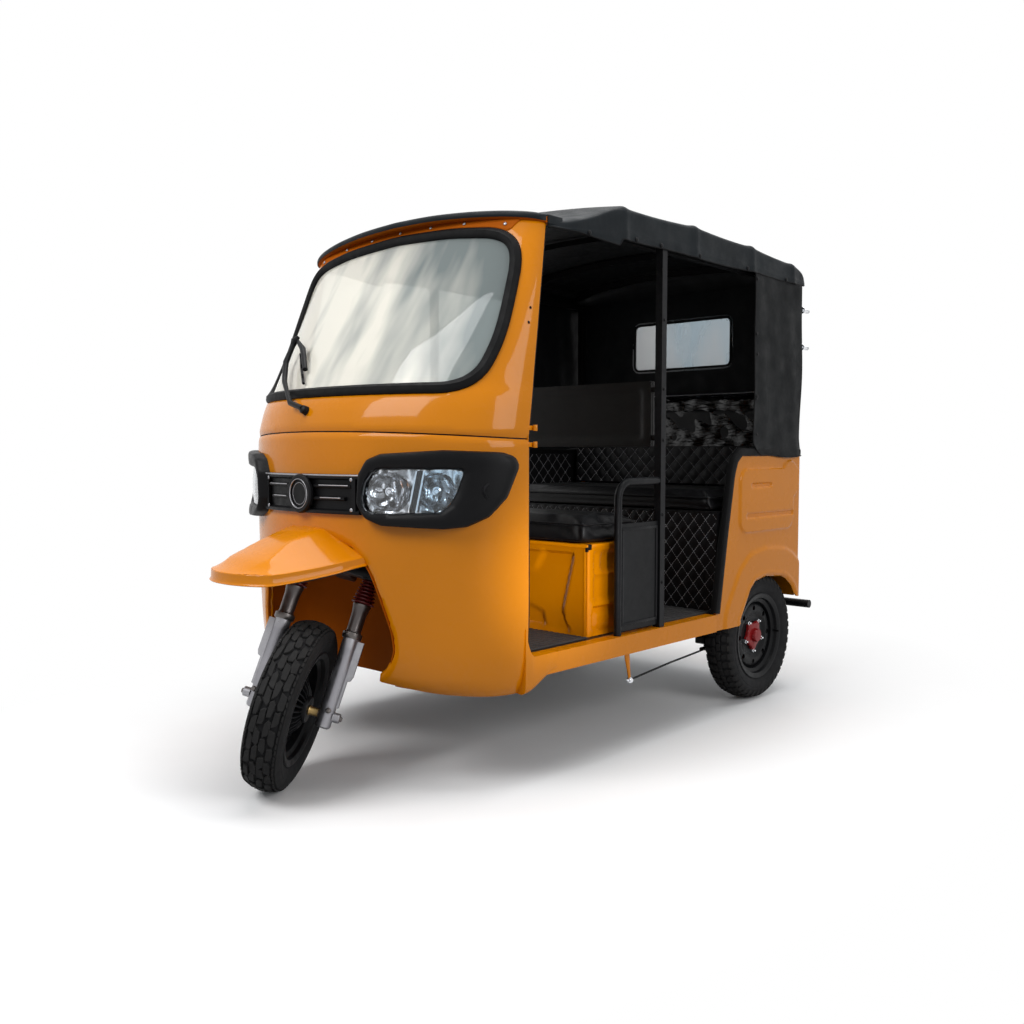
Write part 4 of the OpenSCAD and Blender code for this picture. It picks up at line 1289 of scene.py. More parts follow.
def disc(shape, place, r_in, r_out, holes, ring_r, hole_r, height, thick):
    """A dished wheel disc with round holes: height gives its level for a radius."""
    def circle(c, rad, n):
        return [(c[0] + rad * math.cos(TAU * k / n), c[1] + rad * math.sin(TAU * k / n)) for k in range(n)]

    cuts = [circle((0, 0), r_in, 40)]
    cuts += [circle((ring_r * math.cos(a), ring_r * math.sin(a)), hole_r, 20) for a in turn(holes)]
    flat, tris = patch(circle((0, 0), r_out, 90), cuts, 6.0)
    n, start = len(flat), len(shape.v)
    level = [height(math.hypot(x, y)) for x, y in flat]
    shape.add([place((x, y, h)) for (x, y), h in zip(flat, level)], tris)
    shape.add([place((x, y, h - thick)) for (x, y), h in zip(flat, level)], [t[::-1] for t in tris])
    edges = {(t[k], t[(k + 1) % 3]): None for t in tris for k in range(3)}
    for a, b in edges:
        if (b, a) not in edges:
            shape.f.append((start + b, start + a, start + n + a, start + n + b))


def nut(shape, place, x, y, z, r=9.0, h=14.0):
    """Hexagon nut with a rounded stud end."""
    hexa = [(r * math.cos(math.pi * k / 3), r * math.sin(math.pi * k / 3)) for k in range(6)]
    stud = [(0.55 * r * math.cos(math.pi * k / 6), 0.55 * r * math.sin(math.pi * k / 6)) for k in range(12)]
    for ring, levels in ((hexa, ((1, 0), (1, 0.7), (0.86, 0.85))), (stud, ((1, 0.8), (1, 1.25), (0.7, 1.4)))):
        shape.loft([[place((x + a * f, y + b * f, z + h * d)) for a, b in ring] for f, d in levels])


for side, name in SIDES:
    place = rear_wheel(side)
    body = "rear_wheel_" + name
    shape = Shape().lathe(BARREL, place, 96, closed=True)
    dish = smooth_table([(43, 12), (60, 13), (78, 13.5), (92, 20), (104, 24), (124, 23), (132, 14), (141, 10)], 1)
    disc(shape, place, 43, 140, 8, 112, 11, dish, 5)
    piece("rear_wheel_disc_" + name, shape, BLACK_METAL, body, ["rear_rim_" + name], angle=35)
    drum = [(0.1, -86), (122, -86), (122, -78), (118, -74), (118, 1), (114, 3.5), (44, 3.5), (41.5, 6),
            (41.5, 16), (40, 17)]
    shape = Shape().lathe(drum, place, 64).lathe([(17, -225), (17, -80)], place, 24)
    rings = []
    angles = turn(80)
    for f, h in ((1.0, 14.2), (1.0, 24), (0.95, 27), (0.6, 30), (0.56, 40), (0.5, 45), (0.2, 46)):
        lobes = [(50 + 18 * max(0.0, math.cos(2.5 * a) ** 2 - 0.3) * (h < 29)) * f for a in angles]
        rings.append([place((r * math.cos(a), r * math.sin(a), h)) for r, a in zip(lobes, angles)])
    shape.loft(rings)
    piece("rear_hub_flange_" + name, shape, RED_PAINT, body, ["rear_hub_" + name], angle=35)
    shape = Shape()
    for a in turn(5):
        nut(shape, place, 66 * math.cos(a), 66 * math.sin(a), 13.8)
    piece("rear_wheel_nuts_" + name, shape, CHROME, body)
    valve = [place((0, 151, 30)), place((0, 151, 52)), place((0, 149, 60))]
    piece("rear_valve_" + name, Shape().tube(valve, [4, 4, 3], 10), RUBBER, body)

shape = Shape().lathe(BARREL, front_wheel, 96, closed=True)
dish = smooth_table([(9, 6), (40, 6), (90, 5), (110, 8), (130, 6), (141, 5)], 1)
disc(shape, front_wheel, 30, 140, 9, 116, 11, dish, 9)
shape.lathe([(8.3, -56), (38, -56), (40, -53), (40, -40), (88, -38), (88, -6), (84, 0), (44, 4), (40, 40),
             (40, 53), (38, 56), (8.3, 56)], front_wheel, 64)
for a in turn(24):
    c, s = math.cos(a), math.sin(a)
    shape.loft([[front_wheel((r * c - d * s, r * s + d * c, z))
                 for d, z in ((-2.2, h), (2.2, h), (2.2, 0), (-2.2, 0))]
                for r, h in ((41, 46), (60, 40), (84, 22), (98, 9))])
piece("front_wheel_finned", shape, BLACK_METAL, "front_wheel", ["front_rim"], angle=35)

# Fork legs, yoke and bellows
shape = Shape()
for s in (-1, 1):
    leg = fork_leg(s)
    shape.lathe([(0.1, -40), (16, -40), (22, -36), (24, -30), (24, 205), (25, 212), (25, 240), (0.1, 241)], leg, 40)
    fin = [(17, 236), (44, 236), (44, 130), (39, 116), (30, 112), (30, 30), (17, 24)]
    shape.loft([[leg((s * x, y, z)) for x, z in fin] for y in (-5.5, -4.5, 4.5, 5.5)])
    boss = [(15, 0), (15, 20), (13, 22), (0.1, 22)]
    shape.lathe(boss, lambda p: leg((s * (22 + p[2]), p[1], p[0])), 24)
piece("fork_sliders", shape, STEEL, "fork", ["fork_legs"], angle=35)
shape = Shape()
for s in (-1, 1):
    leg = fork_leg(s)
    shape.lathe([(0.1, 239), (29, 239), (31, 243), (31.5, 250), (31, 257), (25, 260), (23, 266), (24, 320),
                 (27, 338), (29, 345), (29, 347.8), (0.1, 347.8)], leg, 40)
piece("fork_tubes", shape, DARK_STEEL, "fork", angle=35)
shape = Shape().tube([steered((x, -LEAD, 0)) for x in (-150, 150)], 8, 18)
for s in (-1, 1):
    nut(shape, lambda p: steered((s * (132 + p[2]), p[1] - LEAD, p[0])), 0, 0, 12, 14, 12)
    shape.tube([steered((s * 118, -LEAD - dy, 14)) for dy in (22, 34, 37)], [9, 9, 5], 6)
piece("fork_axle", shape, DARK_STEEL, "fork")
shape = Shape()
for s in (-1, 1):
    shape.tube([steered((s * x, -LEAD, 0)) for x in (57.5, 62, 85.5)], [16, 13, 13], 24)
piece("axle_spacers", shape, BRASS, "fork")
shape = Shape()
for s in (-1, 1):
    leg = fork_leg(s)
    prof = [(17.5, 348.4)]
    for k in range(7):
        z = 350 + 11 * k
        wide = 36 - 1.9 * k
        prof += [(wide - 8, z), (wide, z + 3), (wide, z + 6), (wide - 8, z + 9)]
    prof += [(20, 428.6), (17.5, 428.8)]
    shape.lathe(prof, leg, 40)
piece("fork_gaiters", shape, RED_RUBBER, "fork", ["fork_bellows"], angle=50)
shape = Shape().box((-142, -155, 430), (142, -95, 468), 9).box((-36, -100, 430), (36, 32, 468), 9)
shape.moved(steered)
for s in (-1, 1):
    leg = fork_leg(s)
    shape.lathe([(27, 426.5), (29, 430), (29, 462), (24, 472), (17.2, 481), (0.1, 482)], leg, 32)
shape.tube([steered((0, 0, z)) for z in (452, 810)], 17, 28)
shape.tube([steered((0, 0, z)) for z in (468, 500)], [30, 18], 28)
piece("fork_crown", shape, BLACK_METAL, "fork", ["fork_yoke"], angle=40)

# Steering bar: stem clamp, bent bar, grips and levers
shape = Shape().tube([steered((0, 0, z)) for z in (811, 826, 858)], [22, 24, 19], 28)
clamp = Shape().box((-46, -20, 846), (46, 20, 876), 8).moved(steered)
shape.add(clamp.v, clamp.f)
bar = [(120, 0, 860), (186, 0, 860), (310, 46, 866)]
bar = [(-x, y, z) for x, y, z in reversed(bar)] + bar
shape.tube([steered(p) for p in bar], 12, 20)
grip = [(196 + 112 * t, 3.7 + 41 * t, 860.4 + 5.4 * t) for t in np.linspace(0, 1, 29)]
grip_r = [18 if i in (0, 1, 27) else (15 + 0.9 * (i % 2)) for i in range(28)] + [9]
lever = [(178, -16, 856), (205, -34, 857), (250, -26, 860), (305, -2, 864)]
for s in (-1, 1):
    shape.tube([steered((s * x, y, z)) for x, y, z in grip], grip_r, 18)
    shape.tube([steered((s * x, y, z)) for x, y, z in lever], [6, 5, 4.5, 6], 10)
piece("steering_bar", shape, PLASTIC, "fork", ["handlebar"])


# Rear body

def pad_mask(q, y0, y1, z0, z1, r, ramp):
    """1 inside a rounded rectangle, falling to 0 over a ramp outside it."""
    cy, cz, hy, hz = (y0 + y1) / 2, (z0 + z1) / 2, (y1 - y0) / 2 - r, (z1 - z0) / 2 - r
    dy = np.maximum(np.abs(q[:, 0] - cy) - hy, 0)
    dz = np.maximum(np.abs(q[:, 1] - cz) - hz, 0)
    return 1 - ease((np.hypot(dy, dz) - r) / ramp)


def pressed(q, base, pads):
    """A level with pressed fields in it, each given as depth and what pad_mask takes."""
    d = np.full(len(q), base)
    for depth, *pad in pads:
        d += depth * pad_mask(q, *pad)
    return d


REAR_Y, RAIL_Z = 2258, 1020
ARCH = [(2231, 402), (2190, 455), (2140, 488), (2103, 501), (1975, 513), (1886, 500), (1845, 470), (1800, 400),
        (1757, 336)]
QUARTER = [(1584, 336), (1590, 404), (1640, 690), (1688, 931), (1712, 990), (1753, RAIL_Z), (REAR_Y, RAIL_Z),
           (REAR_Y, 402)] + ARCH


def quarter_depth(q):
    """How far the quarter panel lies inside its outermost plane."""
    near = nearest(q, np.array(resample(fillet(ARCH, 16)[6:-6], 4.0, closed=False)))
    d = np.full(len(q), 8.0)
    d -= 6.5 * (1 - ease((near - 108) / 22))
    pad = np.maximum(pad_mask(q, 1756, 2190, 704, 950, 52, 7), pad_mask(q, 2084, 2236, 827, 979, 76, 7))
    d -= 7.0 * pad
    for y0, y1, z in ((1842, 1996, 887), (1806, 2181, 767)):
        d += 6.0 * pad_mask(q, y0, y1, z - 5, z + 5, 4.9, 7)
    d += 9 * np.maximum(0, 1 - near / 9) ** 2
    d -= 2.5 * np.exp(-((near - 16) / 6) ** 2)
    rim = np.minimum(REAR_Y - q[:, 0], RAIL_Z - q[:, 1])
    d += 8 * np.maximum(0, 1 - rim / 10) ** 2
    return np.maximum(d, 0.0)


flat, tris = patch(fillet(QUARTER, 16), [], 6.0)
shape = Shape().add([(608.0 - d, p[0], p[1]) for p, d in zip(flat, quarter_depth(flat))], tris).mirrored()
piece("quarter_pressings", shape, PAINT, replaces=["quarter_panels"], wall=9, even=False)

# Rubber trim round each panel's front and upper edge, and inner skins behind the pressings
TRIM = [(-17, 602), (-16, 608.5), (-10, 611), (4, 611), (12, 608), (15, 601), (15, 588),
        (10, 582), (-8, 582), (-17, 586)]
bend = [(1590, 404), (1640, 690), (1688, 931), (1712, 990), (1753, 1021), (2236, 1021)]
trim = resample([bend[0]] + fillet(bend, 30)[9:-9] + [bend[-1]], 14, closed=False)
rings = []
for i, (y, z) in enumerate(trim):
    a, b = trim[max(0, i - 1)], trim[min(len(trim) - 1, i + 1)]
    t = Vector((b[0] - a[0], b[1] - a[1])).normalized()
    out = Vector((-t.y, t.x))
    rings.append([(x, y + out.x * o, z + out.y * o) for o, x in TRIM])
piece("quarter_edge_trim", Shape().loft(rings).mirrored(), RUBBER)
inner = [(1592, 402), (1642, 690), (1690, 931), (1714, 990), (1752, 1021), (2232, 1021), (2232, 520), (1880, 520),
         (1830, 470), (1795, 402)]
flat, tris = patch(inner, [], 40.0)
shape = Shape().add([(588.0, p[0], p[1]) for p in flat], tris).mirrored()
piece("quarter_linings", shape, VINYL, wall=3)

# Rear face with two pressed fields, plate holes left bare
def rear_depth(q):
    """How far the rear face lies ahead of its rearmost plane."""
    d = pressed(q, 1.0, [(5, -520, 520, 800, 970, 40, 14), (5, -300, 300, 560, 770, 40, 14)])
    rim = np.minimum(589 - np.abs(q[:, 0]), np.minimum(RAIL_Z - q[:, 1], q[:, 1] - 402))
    return d + 7 * np.maximum(0, 1 - rim / 10) ** 2


plate_holes = [[(x + 3.5 * math.cos(a), 700 + 3.5 * math.sin(a)) for a in turn(16)] for x in (-70, 70)]
flat, tris = patch([(-589, 402), (589, 402), (589, RAIL_Z), (-589, RAIL_Z)], plate_holes, 15.0)
shape = Shape().add([(p[0], REAR_Y - d, p[1]) for p, d in zip(flat, rear_depth(flat))], tris)
piece("rear_face", shape, PAINT, replaces=["rear_panel"], wall=7, even=False)
lens = Shape().box((470, 2260, 544), (560, 2279, 656), 8)
for z in np.linspace(556, 644, 12):
    lens.box((474, 2277, z - 2.2), (556, 2281.5, z + 2.2), 1.5)
piece("tail_lamp_lenses", lens.mirrored(), RED_LENS, replaces=["tail_lamps"])
shape = Shape().border((464, 2258.2, 538), (566, 2272, 662), 8, 2)
piece("tail_lamp_rims", shape.mirrored(), PLASTIC)
shape = Shape()
for z in (1618, 1463):
    shape.tube([(596, 2243, z), (596, 2306, z), (596, 2309, z)], [9, 9, 7], 20)
    shape.tube([(596, 2250, z), (596, 2256, z)], 14, 20)
piece("rear_post_stubs", shape, CHROME)

# Driver's seat box with pressed front and sides
BOX_X, BOX_FRONT = 535, 885
FRONT_FIELDS = [
    (11, [(-464, 410), (464, 410), (428, 480), (476, 672), (476, 684), (-476, 684), (-476, 672), (-428, 480)]),
    (-8, [(-352, 690), (352, 690), (304, 612), (270, 598), (-270, 598), (-304, 612)]),
    (9, [(-344, 414), (344, 414), (330, 468), (268, 487), (-268, 487), (-330, 468)])]
SIDE_FIELDS = [(9, 932, 1200, 612, 682, 6, 9), (8, 978, 1196, 622, 672, 6, 8), (9, 932, 1200, 524, 598, 6, 9),
               (-1.8, 905, 1204, 408, 508, 18, 10), (12, 918, 1196, 418, 494, 14, 9),
               (-7, 940, 1180, 430, 478, 10, 8)]


def box_front(q):
    """How far the seat box's front lies behind its foremost plane."""
    d = np.full(len(q), 2.0)
    for depth, field in FRONT_FIELDS:
        line = fillet(field, 12)
        dist = distance_to(q, line) * np.where(inside(q, line), 1, -1)
        d += depth * ease((dist + 2) / 12)
    return d


flat, tris = patch([(-BOX_X, 401), (BOX_X, 401), (BOX_X, 711), (-BOX_X, 711)], [], 11.0)
shape = Shape().add([(p[0], BOX_FRONT + d, p[1]) for p, d in zip(flat, box_front(flat))], tris)
flat, tris = patch([(BOX_FRONT, 401), (1213, 401), (1213, 711), (BOX_FRONT, 711)], [], 11.0)
depth = pressed(flat, 2.0, SIDE_FIELDS)
for sx in (1, -1):
    shape.add([(sx * (BOX_X - d), p[0], p[1]) for p, d in zip(flat, depth)],
              tris if sx < 0 else [t[::-1] for t in tris])
shape.box((-BOX_X, 884, 700), (BOX_X, 1213, 712), 3)
for sx in (1, -1):
    rings = [[(sx * (BOX_X - 14 + 14 * math.cos(a)), BOX_FRONT + 14 - 14 * math.sin(a), z)
              for a in np.linspace(0, math.pi / 2, 7)] + [(sx * 519, 901, z)] for z in (401, 700)]
    shape.loft(rings)
shape.box((-520, 1204, 402), (520, 1212, 702), 2)
piece("driver_seat_base", shape, PAINT, replaces=["driver_seat_box"], angle=40)
shape = Shape().box((522, 890, 694), (539, 906, 713), 3)
shape.box((526, 884, 688), (536, 892, 704), 2)
piece("seat_box_latch", shape, PLASTIC)


# Padded seats

def stuffed(name, node, lo, hi, room, axis, rests, chamfer=20.0, voxel=0.012, cap=24.0):
    """A cushion blown up by a short cloth run from a slightly smaller block inside the room it has.

    It is held on its resting face: below a height, or behind a distance, by the axis given.
    """
    obj = piece(name, Shape().box(lo, hi, chamfer), VINYL, "body", [node])
    obj.parent = None
    obj.matrix_world = Matrix.Identity(4)
    mod = obj.modifiers.new("even", "REMESH")
    mod.mode = "VOXEL"
    mod.voxel_size = voxel
    settle(obj)
    mesh = obj.data
    start = np.array([v.co[:] for v in mesh.vertices])
    rest = start.copy()
    hold = obj.vertex_groups.new(name="held")
    mm = np.stack([start[:, 0] * 1000, start[:, 1] * 1000 + ORIGIN_Y, start[:, 2] * 1000], axis=1)
    pinned = mm[:, 2] < rests if axis == "z" else mm[:, 1] > rests
    hold.add([int(i) for i in np.nonzero(pinned)[0]], 1.0, "REPLACE")
    cloth = obj.modifiers.new("blow", "CLOTH")
    st = cloth.settings
    st.quality = 4
    st.mass = 0.35
    st.tension_stiffness = st.compression_stiffness = 22
    st.shear_stiffness = 12
    st.bending_stiffness = 1.2
    st.use_pressure = True
    st.uniform_pressure_force = 4.0
    st.vertex_group_mass = "held"
    st.effector_weights.gravity = 0.0
    cloth.collision_settings.use_collision = False
    for frame_no in range(1, 21):
        scene.frame_set(frame_no)
    blown = obj.evaluated_get(bpy.context.evaluated_depsgraph_get()).data
    start = np.array([v.co[:] for v in blown.vertices])
    obj.modifiers.clear()
    scene.frame_set(1)
    move = (start - rest) * 1000
    length = np.linalg.norm(move, axis=1)
    move *= np.minimum(1.0, cap / np.maximum(length, 1e-6))[:, None]
    for v, p in zip(mesh.vertices, np.clip(mm + move, room[0], room[1])):
        v.co = row(p)
    obj.vertex_groups.clear()
    mesh.update()
    mod = obj.modifiers.new("ease", "SMOOTH")
    mod.factor = 0.5
    mod.iterations = 3
    obj.modifiers.new("soft", "SUBSURF").levels = 1
    settle(obj)
    obj.data.shade_smooth()
    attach(obj, "body")
    return obj


driver_pad = stuffed("driver_cushion_pad", "driver_cushion", (-524, 880, 716), (524, 1198, 784),
                     ((-540, 863, 712.4), (540, 1213, 806)), "z", 722)
bench_pad = stuffed("bench_cushion_pad", "bench_cushion", (-560, 1618, 794), (560, 2146, 852),
                    ((-575, 1600, 790.4), (575, 2159, 873)), "z", 800)
stuffed("bench_back_pad", "bench_backrest", (-548, 2182, 802), (548, 2230, 1268),
        ((-561, 2160.4, 790.4), (561, 2234.8, 1270)), "y", 2222)


def piping(name, loop, pad, r=4.0):
    """A corded seam laid on the pad along a rough loop round it."""
    cover = np.array([v.co[:] for v in pad.data.vertices]) * 1000 + np.array([0, ORIGIN_Y, 0])
    laid = np.array([cover[np.argmin(np.linalg.norm(cover - np.array(p), axis=1))] for p in loop])
    laid = (np.roll(laid, 1, axis=0) + 2 * laid + np.roll(laid, -1, axis=0)) / 4
    laid[:, 2] = loop[0][2]
    pts = [tuple(p) for p in laid]
    piece(name, Shape().tube(pts + pts[:2], r, 8, caps=False), VINYL)


def seat_loop(x, y0, y1, z, dip, n=26):
    """A seam line round a cushion, drawn in between its corners."""
    out = []
    corners = [(-x, y0), (x, y0), (x, y1), (-x, y1)]
    for (ax, ay), (bx, by) in zip(corners, corners[1:] + corners[:1]):
        inward = 0 if ay != by else 1 if ay == y0 else -1
        for k in range(n):
            t = k / n
            pull = dip * math.sin(math.pi * t)
            px, py = ax + (bx - ax) * t, ay + (by - ay) * t
            out.append((px * (1 - 0.3 * pull / 540 * (ax == bx)), py + inward * pull * 0.5, z))
    return out


piping("driver_cushion_piping", seat_loop(534, 868, 1208, 776, 6), driver_pad)
piping("bench_cushion_piping", seat_loop(569, 1606, 2154, 842, 6), bench_pad)


# Diamond quilting with pale stitches

def quilt(name, x_half, z0, z1, dx, dz, puff, place):
    """Puffed diamonds and dashed stitch lines between them, set by place(across, height, out)."""
    nx, nz = int(2 * x_half / 8), int((z1 - z0) / 8)
    rows = []

    def height(x, z):
        u, v = x / dx + z / dz, x / dx - z / dz
        return puff * (abs(math.sin(math.pi * u)) * abs(math.sin(math.pi * v))) ** 0.5

    for j in range(nz + 1):
        z = z0 + (z1 - z0) * j / nz
        rows.append([place(x, z, height(x, z)) for x in np.linspace(-x_half, x_half, nx + 1)])
    obj = piece(name, Shape().grid(rows), VINYL, wall=4, angle=60, outward=False)
    stitches = Shape()
    for sign in (1, -1):
        k0 = int(math.floor(-x_half / dx - abs(z1) / dz)) - 1
        for k in range(k0, -k0 + 1):
            # the line x / dx + sign * z / dz = k, walked in short stitches
            z = z0 + 3
            step_z = 9.0 * dz / math.hypot(dx, dz)
            while z < z1 - step_z:
                a = (dx * (k - sign * z / dz), z)
                zb = z + step_z * 0.68
                b = (dx * (k - sign * zb / dz), zb)
                if abs(a[0]) < x_half - 4 and abs(b[0]) < x_half - 4:
                    stitches.tube([place(a[0], a[1], 1.4), place(b[0], b[1], 1.4)], 1.5, 4)
                z += step_z
    piece(name + "_stitches", stitches, THREAD)


quilt("bench_front_quilt", 572, 404, 786, 52.0, 63.0, 4.5, lambda x, z, out: (x, 1638.6 - out, z))
quilt("bench_back_quilt", 552, 876, 1044, 66.0, 68.0, 5.0,
      lambda x, z, out: (x, 2158.6 - out + 0.02 * (z - 880), z))
for sx, word in SIDES:
    quilt("side_quilt_" + word, 212, 800, 1012, 66.0, 68.0, 4.0,
          lambda u, z, out: (sx * (584 - out), 1940 - sx * u, z))

# Floor mats, partition, post screws
shape = Shape()
for y0, y1, half in ((452, 884, 540), (1246, 1636, 554)):
    shape.box((-half, y0, 400.1), (half, y1, 402.4), 0.8)
    for x in np.arange(-half + 12, half - 8, 24.0):
        shape.box((x, y0 + 6, 402.0), (x + 11, y1 - 6, 404.6), 1.0)
piece("floor_mats", shape, FLOOR_MAT)

flat, tris = patch([(-552, 1040), (552, 1040), (552, 1270), (-552, 1270)], [], 13.0)
depth = pressed(flat, 0.0, [(7, -512, 512, 1072, 1238, 10, 7)])
shape = Shape().add([(p[0], 1214.5 + d, p[1]) for p, d in zip(flat, depth)], tris)
shape.box((-552, 1226, 1040), (552, 1242, 1270), 3)
shape.border((-552, 1215, 1040), (552, 1228, 1270), 10, 3)
for sx in (1, -1):
    for z in (1070, 1240):
        shape.tube([(sx * 546, 1228, z), (sx * 571.8, 1228, z)], 10, 16)
piece("partition_board", shape, PANEL, replaces=["partition_panel"])

shape = Shape()
for sx in (1, -1):
    for z in (560, 800, 1062, 1240, 1480):
        dome(shape, (sx * 600, 1228, z), (sx, 0, 0), 6, 3.5)
    for z in (1405, 1240, 1090):
        dome(shape, (sx * 612.5, 1857, z), (sx, 0, 0), 6, 3.0)
piece("post_screws", shape, PLASTIC)

# Raised border on each side guard's panel
shape = Shape().border((591, 1000, 430), (594, 1208, 764), 10, 1.4, level=1)
piece("guard_borders", shape.mirrored(), BLACK_METAL)

# Loose film over the upper backrest
rows = []
for j in range(26):
    z = 1046 + 232 * j / 25
    line = []
    for i in range(96):
        x = -556 + 1112 * i / 95
        crease = 2.6 * math.sin(x / 23 + z / 17) + 2.2 * math.sin(x / 41 - z / 29 + 1)
        crease += 1.8 * math.sin(x / 13 + 2 * math.sin(z / 31))
        back = 2157 + 0.06 * (z - 1046) + 26 * max(0.0, (z - 1236) / 42) ** 2
        line.append((x, back + 0.9 * crease - 3, z))
    rows.append(line)
cover = piece("bench_back_film", Shape().grid(rows), FILM_COVER, wall=1.2, angle=60, outward=False)
wide, arc = run(rows[12]), run([line[40] for line in rows])
piece("bench_back_bead", Shape().tube([(x, y + 1, z) for x, y, z in rows[-1]], 3.2, 8), THREAD)

# Fairing from the cowl's lower corner into each sill
rings = []
for y in [500, 507, 514, 518, 522, 527] + list(np.linspace(532, 648, 16)):
    low = 287 + 49 * ease((y - 505) / 140)
    high = 400.4 + 90 * max(0.0, (548 - y) / 48) ** 2.2
    out = 609.4
    bilge = [(out - 22 + 22 * math.sin(a), low + 22 - 22 * math.cos(a)) for a in np.linspace(0, math.pi / 2, 8)]
    rings.append([(560, y, high), (out - 5, y, high), (out - 1.5, y, high - 1.5), (out, y, high - 5)]
                 + [(x, y, z) for x, z in reversed(bilge)] + [(560, y, low + 4)])
shape = Shape().loft(rings).mirrored()
piece("sill_fairings", shape, PAINT, angle=30)

# Door hinge eyes, with a thin web back to the pillar
shape = Shape()
for sx in (1, -1):
    for z0, z1 in ((1030, 1056), (1080, 1106)):
        shape.lathe([(4, z0 + 4), (6.6, z0 + 4), (7, z0 + 5), (7, z1 - 5), (6.6, z1 - 4), (4, z1 - 4)],
                    lambda p: (sx * (614 + p[0]), 535 + p[1], p[2]), 24, closed=True)
        shape.box((sx * 596, 512, z0 + 6), (sx * 609, 532, z1 - 6), 2)
piece("hinge_eyes", shape, PAINT, replaces=["door_hinges"])

# Brake lever with its eye and pull rod
LEVER = [(571, 1060, 334, 15, 5), (572, 1063, 304, 13, 5), (573, 1069, 268, 9, 4.4), (572, 1075, 238, 6, 4)]
shape = Shape().loft([[(x + thick * math.cos(a), y + wide * math.sin(a), z) for a in turn(16)]
                      for x, y, z, wide, thick in LEVER])
piece("brake_lever", shape, PAINT, replaces=["brake_linkage"], angle=60)
shape = Shape().lathe([(5, -4), (10, -5), (12, 0), (10, 5), (5, 4)],
                      lambda p: (572 + p[2], 1076 + p[0], 231 + p[1]), 24, closed=True)
shape.tube([(564, 1076, 231), (580, 1076, 231), (583, 1076, 231)], [4.5, 4.5, 7], 14)
piece("brake_lever_eye", shape, CHROME)
shape = Shape().tube([(571, 1080, 231), (490, 1455, 222), (402, 1866, 206)], 3.6, 10)
shape.box((392, 1836, 196), (412, 1862, 268), 4)
shape.box((380, 1790, 232), (424, 1850, 262), 5)
shape.tube([(404, 1800, 209), (404, 1834, 208)], 8, 12)
piece("brake_rod", shape, BLACK_METAL)


# Side curtains: hung from under the valance, outside the quarter panels

def curtain_point(t, z, sx):
    """t runs from the front edge to the rear edge; the hem flares over the panel below."""
    y = 1843 + 395 * t
    low = max(0.0, (1090 - z) / 100)
    x = 603 + 5 * math.sin(math.pi * (1735 - z) / 715) + 11 * ease(low * 0.9)
    x += (1.6 + 3.2 * low) * math.sin(9.0 * t + 0.8 * sx) * (0.35 + 0.65 * t)
    x += 1.2 * math.sin(21 * t + z / 130) + 1.4 * math.sin(z / 62 + 5 * t)
    y += 3.0 * math.sin(z / 95) * t - 4 * low * (1 - t)
    return (sx * x, y, z)


for sx, word in SIDES:
    rows = []
    for k in range(70):
        u = k / 69
        line = []
        for j in range(44):
            t = j / 43
            hem = 1006 - 6 * t + 4 * math.sin(7 * t) + 46 * max(0.0, 1 - t / 0.17) ** 2.2
            line.append(curtain_point(t, 1734 + (hem - 1734) * u, sx))
        rows.append(line)
    # Its inner faces take the darker canvas: painted shade inside the cab.
    curtain = piece("side_curtain_" + word, Shape().grid(rows), CANVAS, replaces=["side_curtains"], wall=2.2,
                    angle=60, outward=False, inner_mat=SHADED_CANVAS, side=sx)
    edge_line = [(x + sx * 0.6, y, z) for x, y, z in (line[0] for line in rows)]
    edge_line += [(x + sx * 0.6, y, z + 1.2) for x, y, z in rows[-1]]
    piece("side_curtain_binding_" + word, Shape().tube(edge_line, 2.6, 8), RUBBER)
    snaps = Shape()
    for z in (1700, 1486, 1232):
        p = curtain_point(0.03, z, sx)
        dome(snaps, (p[0] + sx * 0.5, p[1] + 2, z), (sx, 0, 0), 7.5, 3.6)
    piece("side_curtain_snaps_" + word, snaps, PLASTIC)

# Rear curtain with its clear window
window = fillet([(-262, 1406), (262, 1406), (262, 1622), (-262, 1622)], 30)
flat, tris = patch([(-594, 1022), (594, 1022), (594, 1744), (-594, 1744)], [window], 17.0)
verts = []
for (x, z), d in zip(flat, distance_to(flat, window)):
    calm = ease((d - 10) / 120)
    sway = 2.2 * math.sin(x / 70) + 1.4 * math.sin(x / 33 + z / 210) + 1.3 * math.sin(z / 85 + x / 240)
    verts.append((x, 2244 + 2.4 * calm * sway * 0.5 + 2.0 * math.exp(-((d - 22) / 6) ** 2), z))
# Its inner faces take the darker canvas: painted shade inside the cab.
rear = piece("rear_curtain_cloth", Shape().add(verts, tris), CANVAS, replaces=["rear_curtain"], wall=2.2,
             angle=60, inner_mat=SHADED_CANVAS)
flat, tris = patch(inset(resample(window, 8), -12), [], 22.0)
shape = Shape().add([(x, 2243 + 1.4 * math.sin(x / 66) * math.sin(z / 40), z) for x, z in flat], tris)
piece("rear_window_film", shape, FILM, replaces=["rear_window"], wall=1.2)
BORDER = [(-5, 2240.5), (-4, 2239.2), (4, 2239.2), (5, 2240.5), (5, 2248.5), (-5, 2248.5)]
loop = resample(window, 10)
rings = []
for i, (x, z) in enumerate(loop):
    a, b = loop[i - 1], loop[(i + 1) % len(loop)]
    t = Vector((b[0] - a[0], b[1] - a[1])).normalized()
    rings.append([(x - t.y * o, y, z + t.x * o) for o, y in BORDER])
piece("rear_window_border", Shape().grid(rings, wrap=True, wrap_rows=True), RUBBER)
shape = Shape()
for x in np.linspace(-560, 560, 9):
    dome(shape, (x, 2246.5, 1036), (0, 1, 0), 7.5, 3.4)
piece("rear_curtain_snaps", shape, PLASTIC)


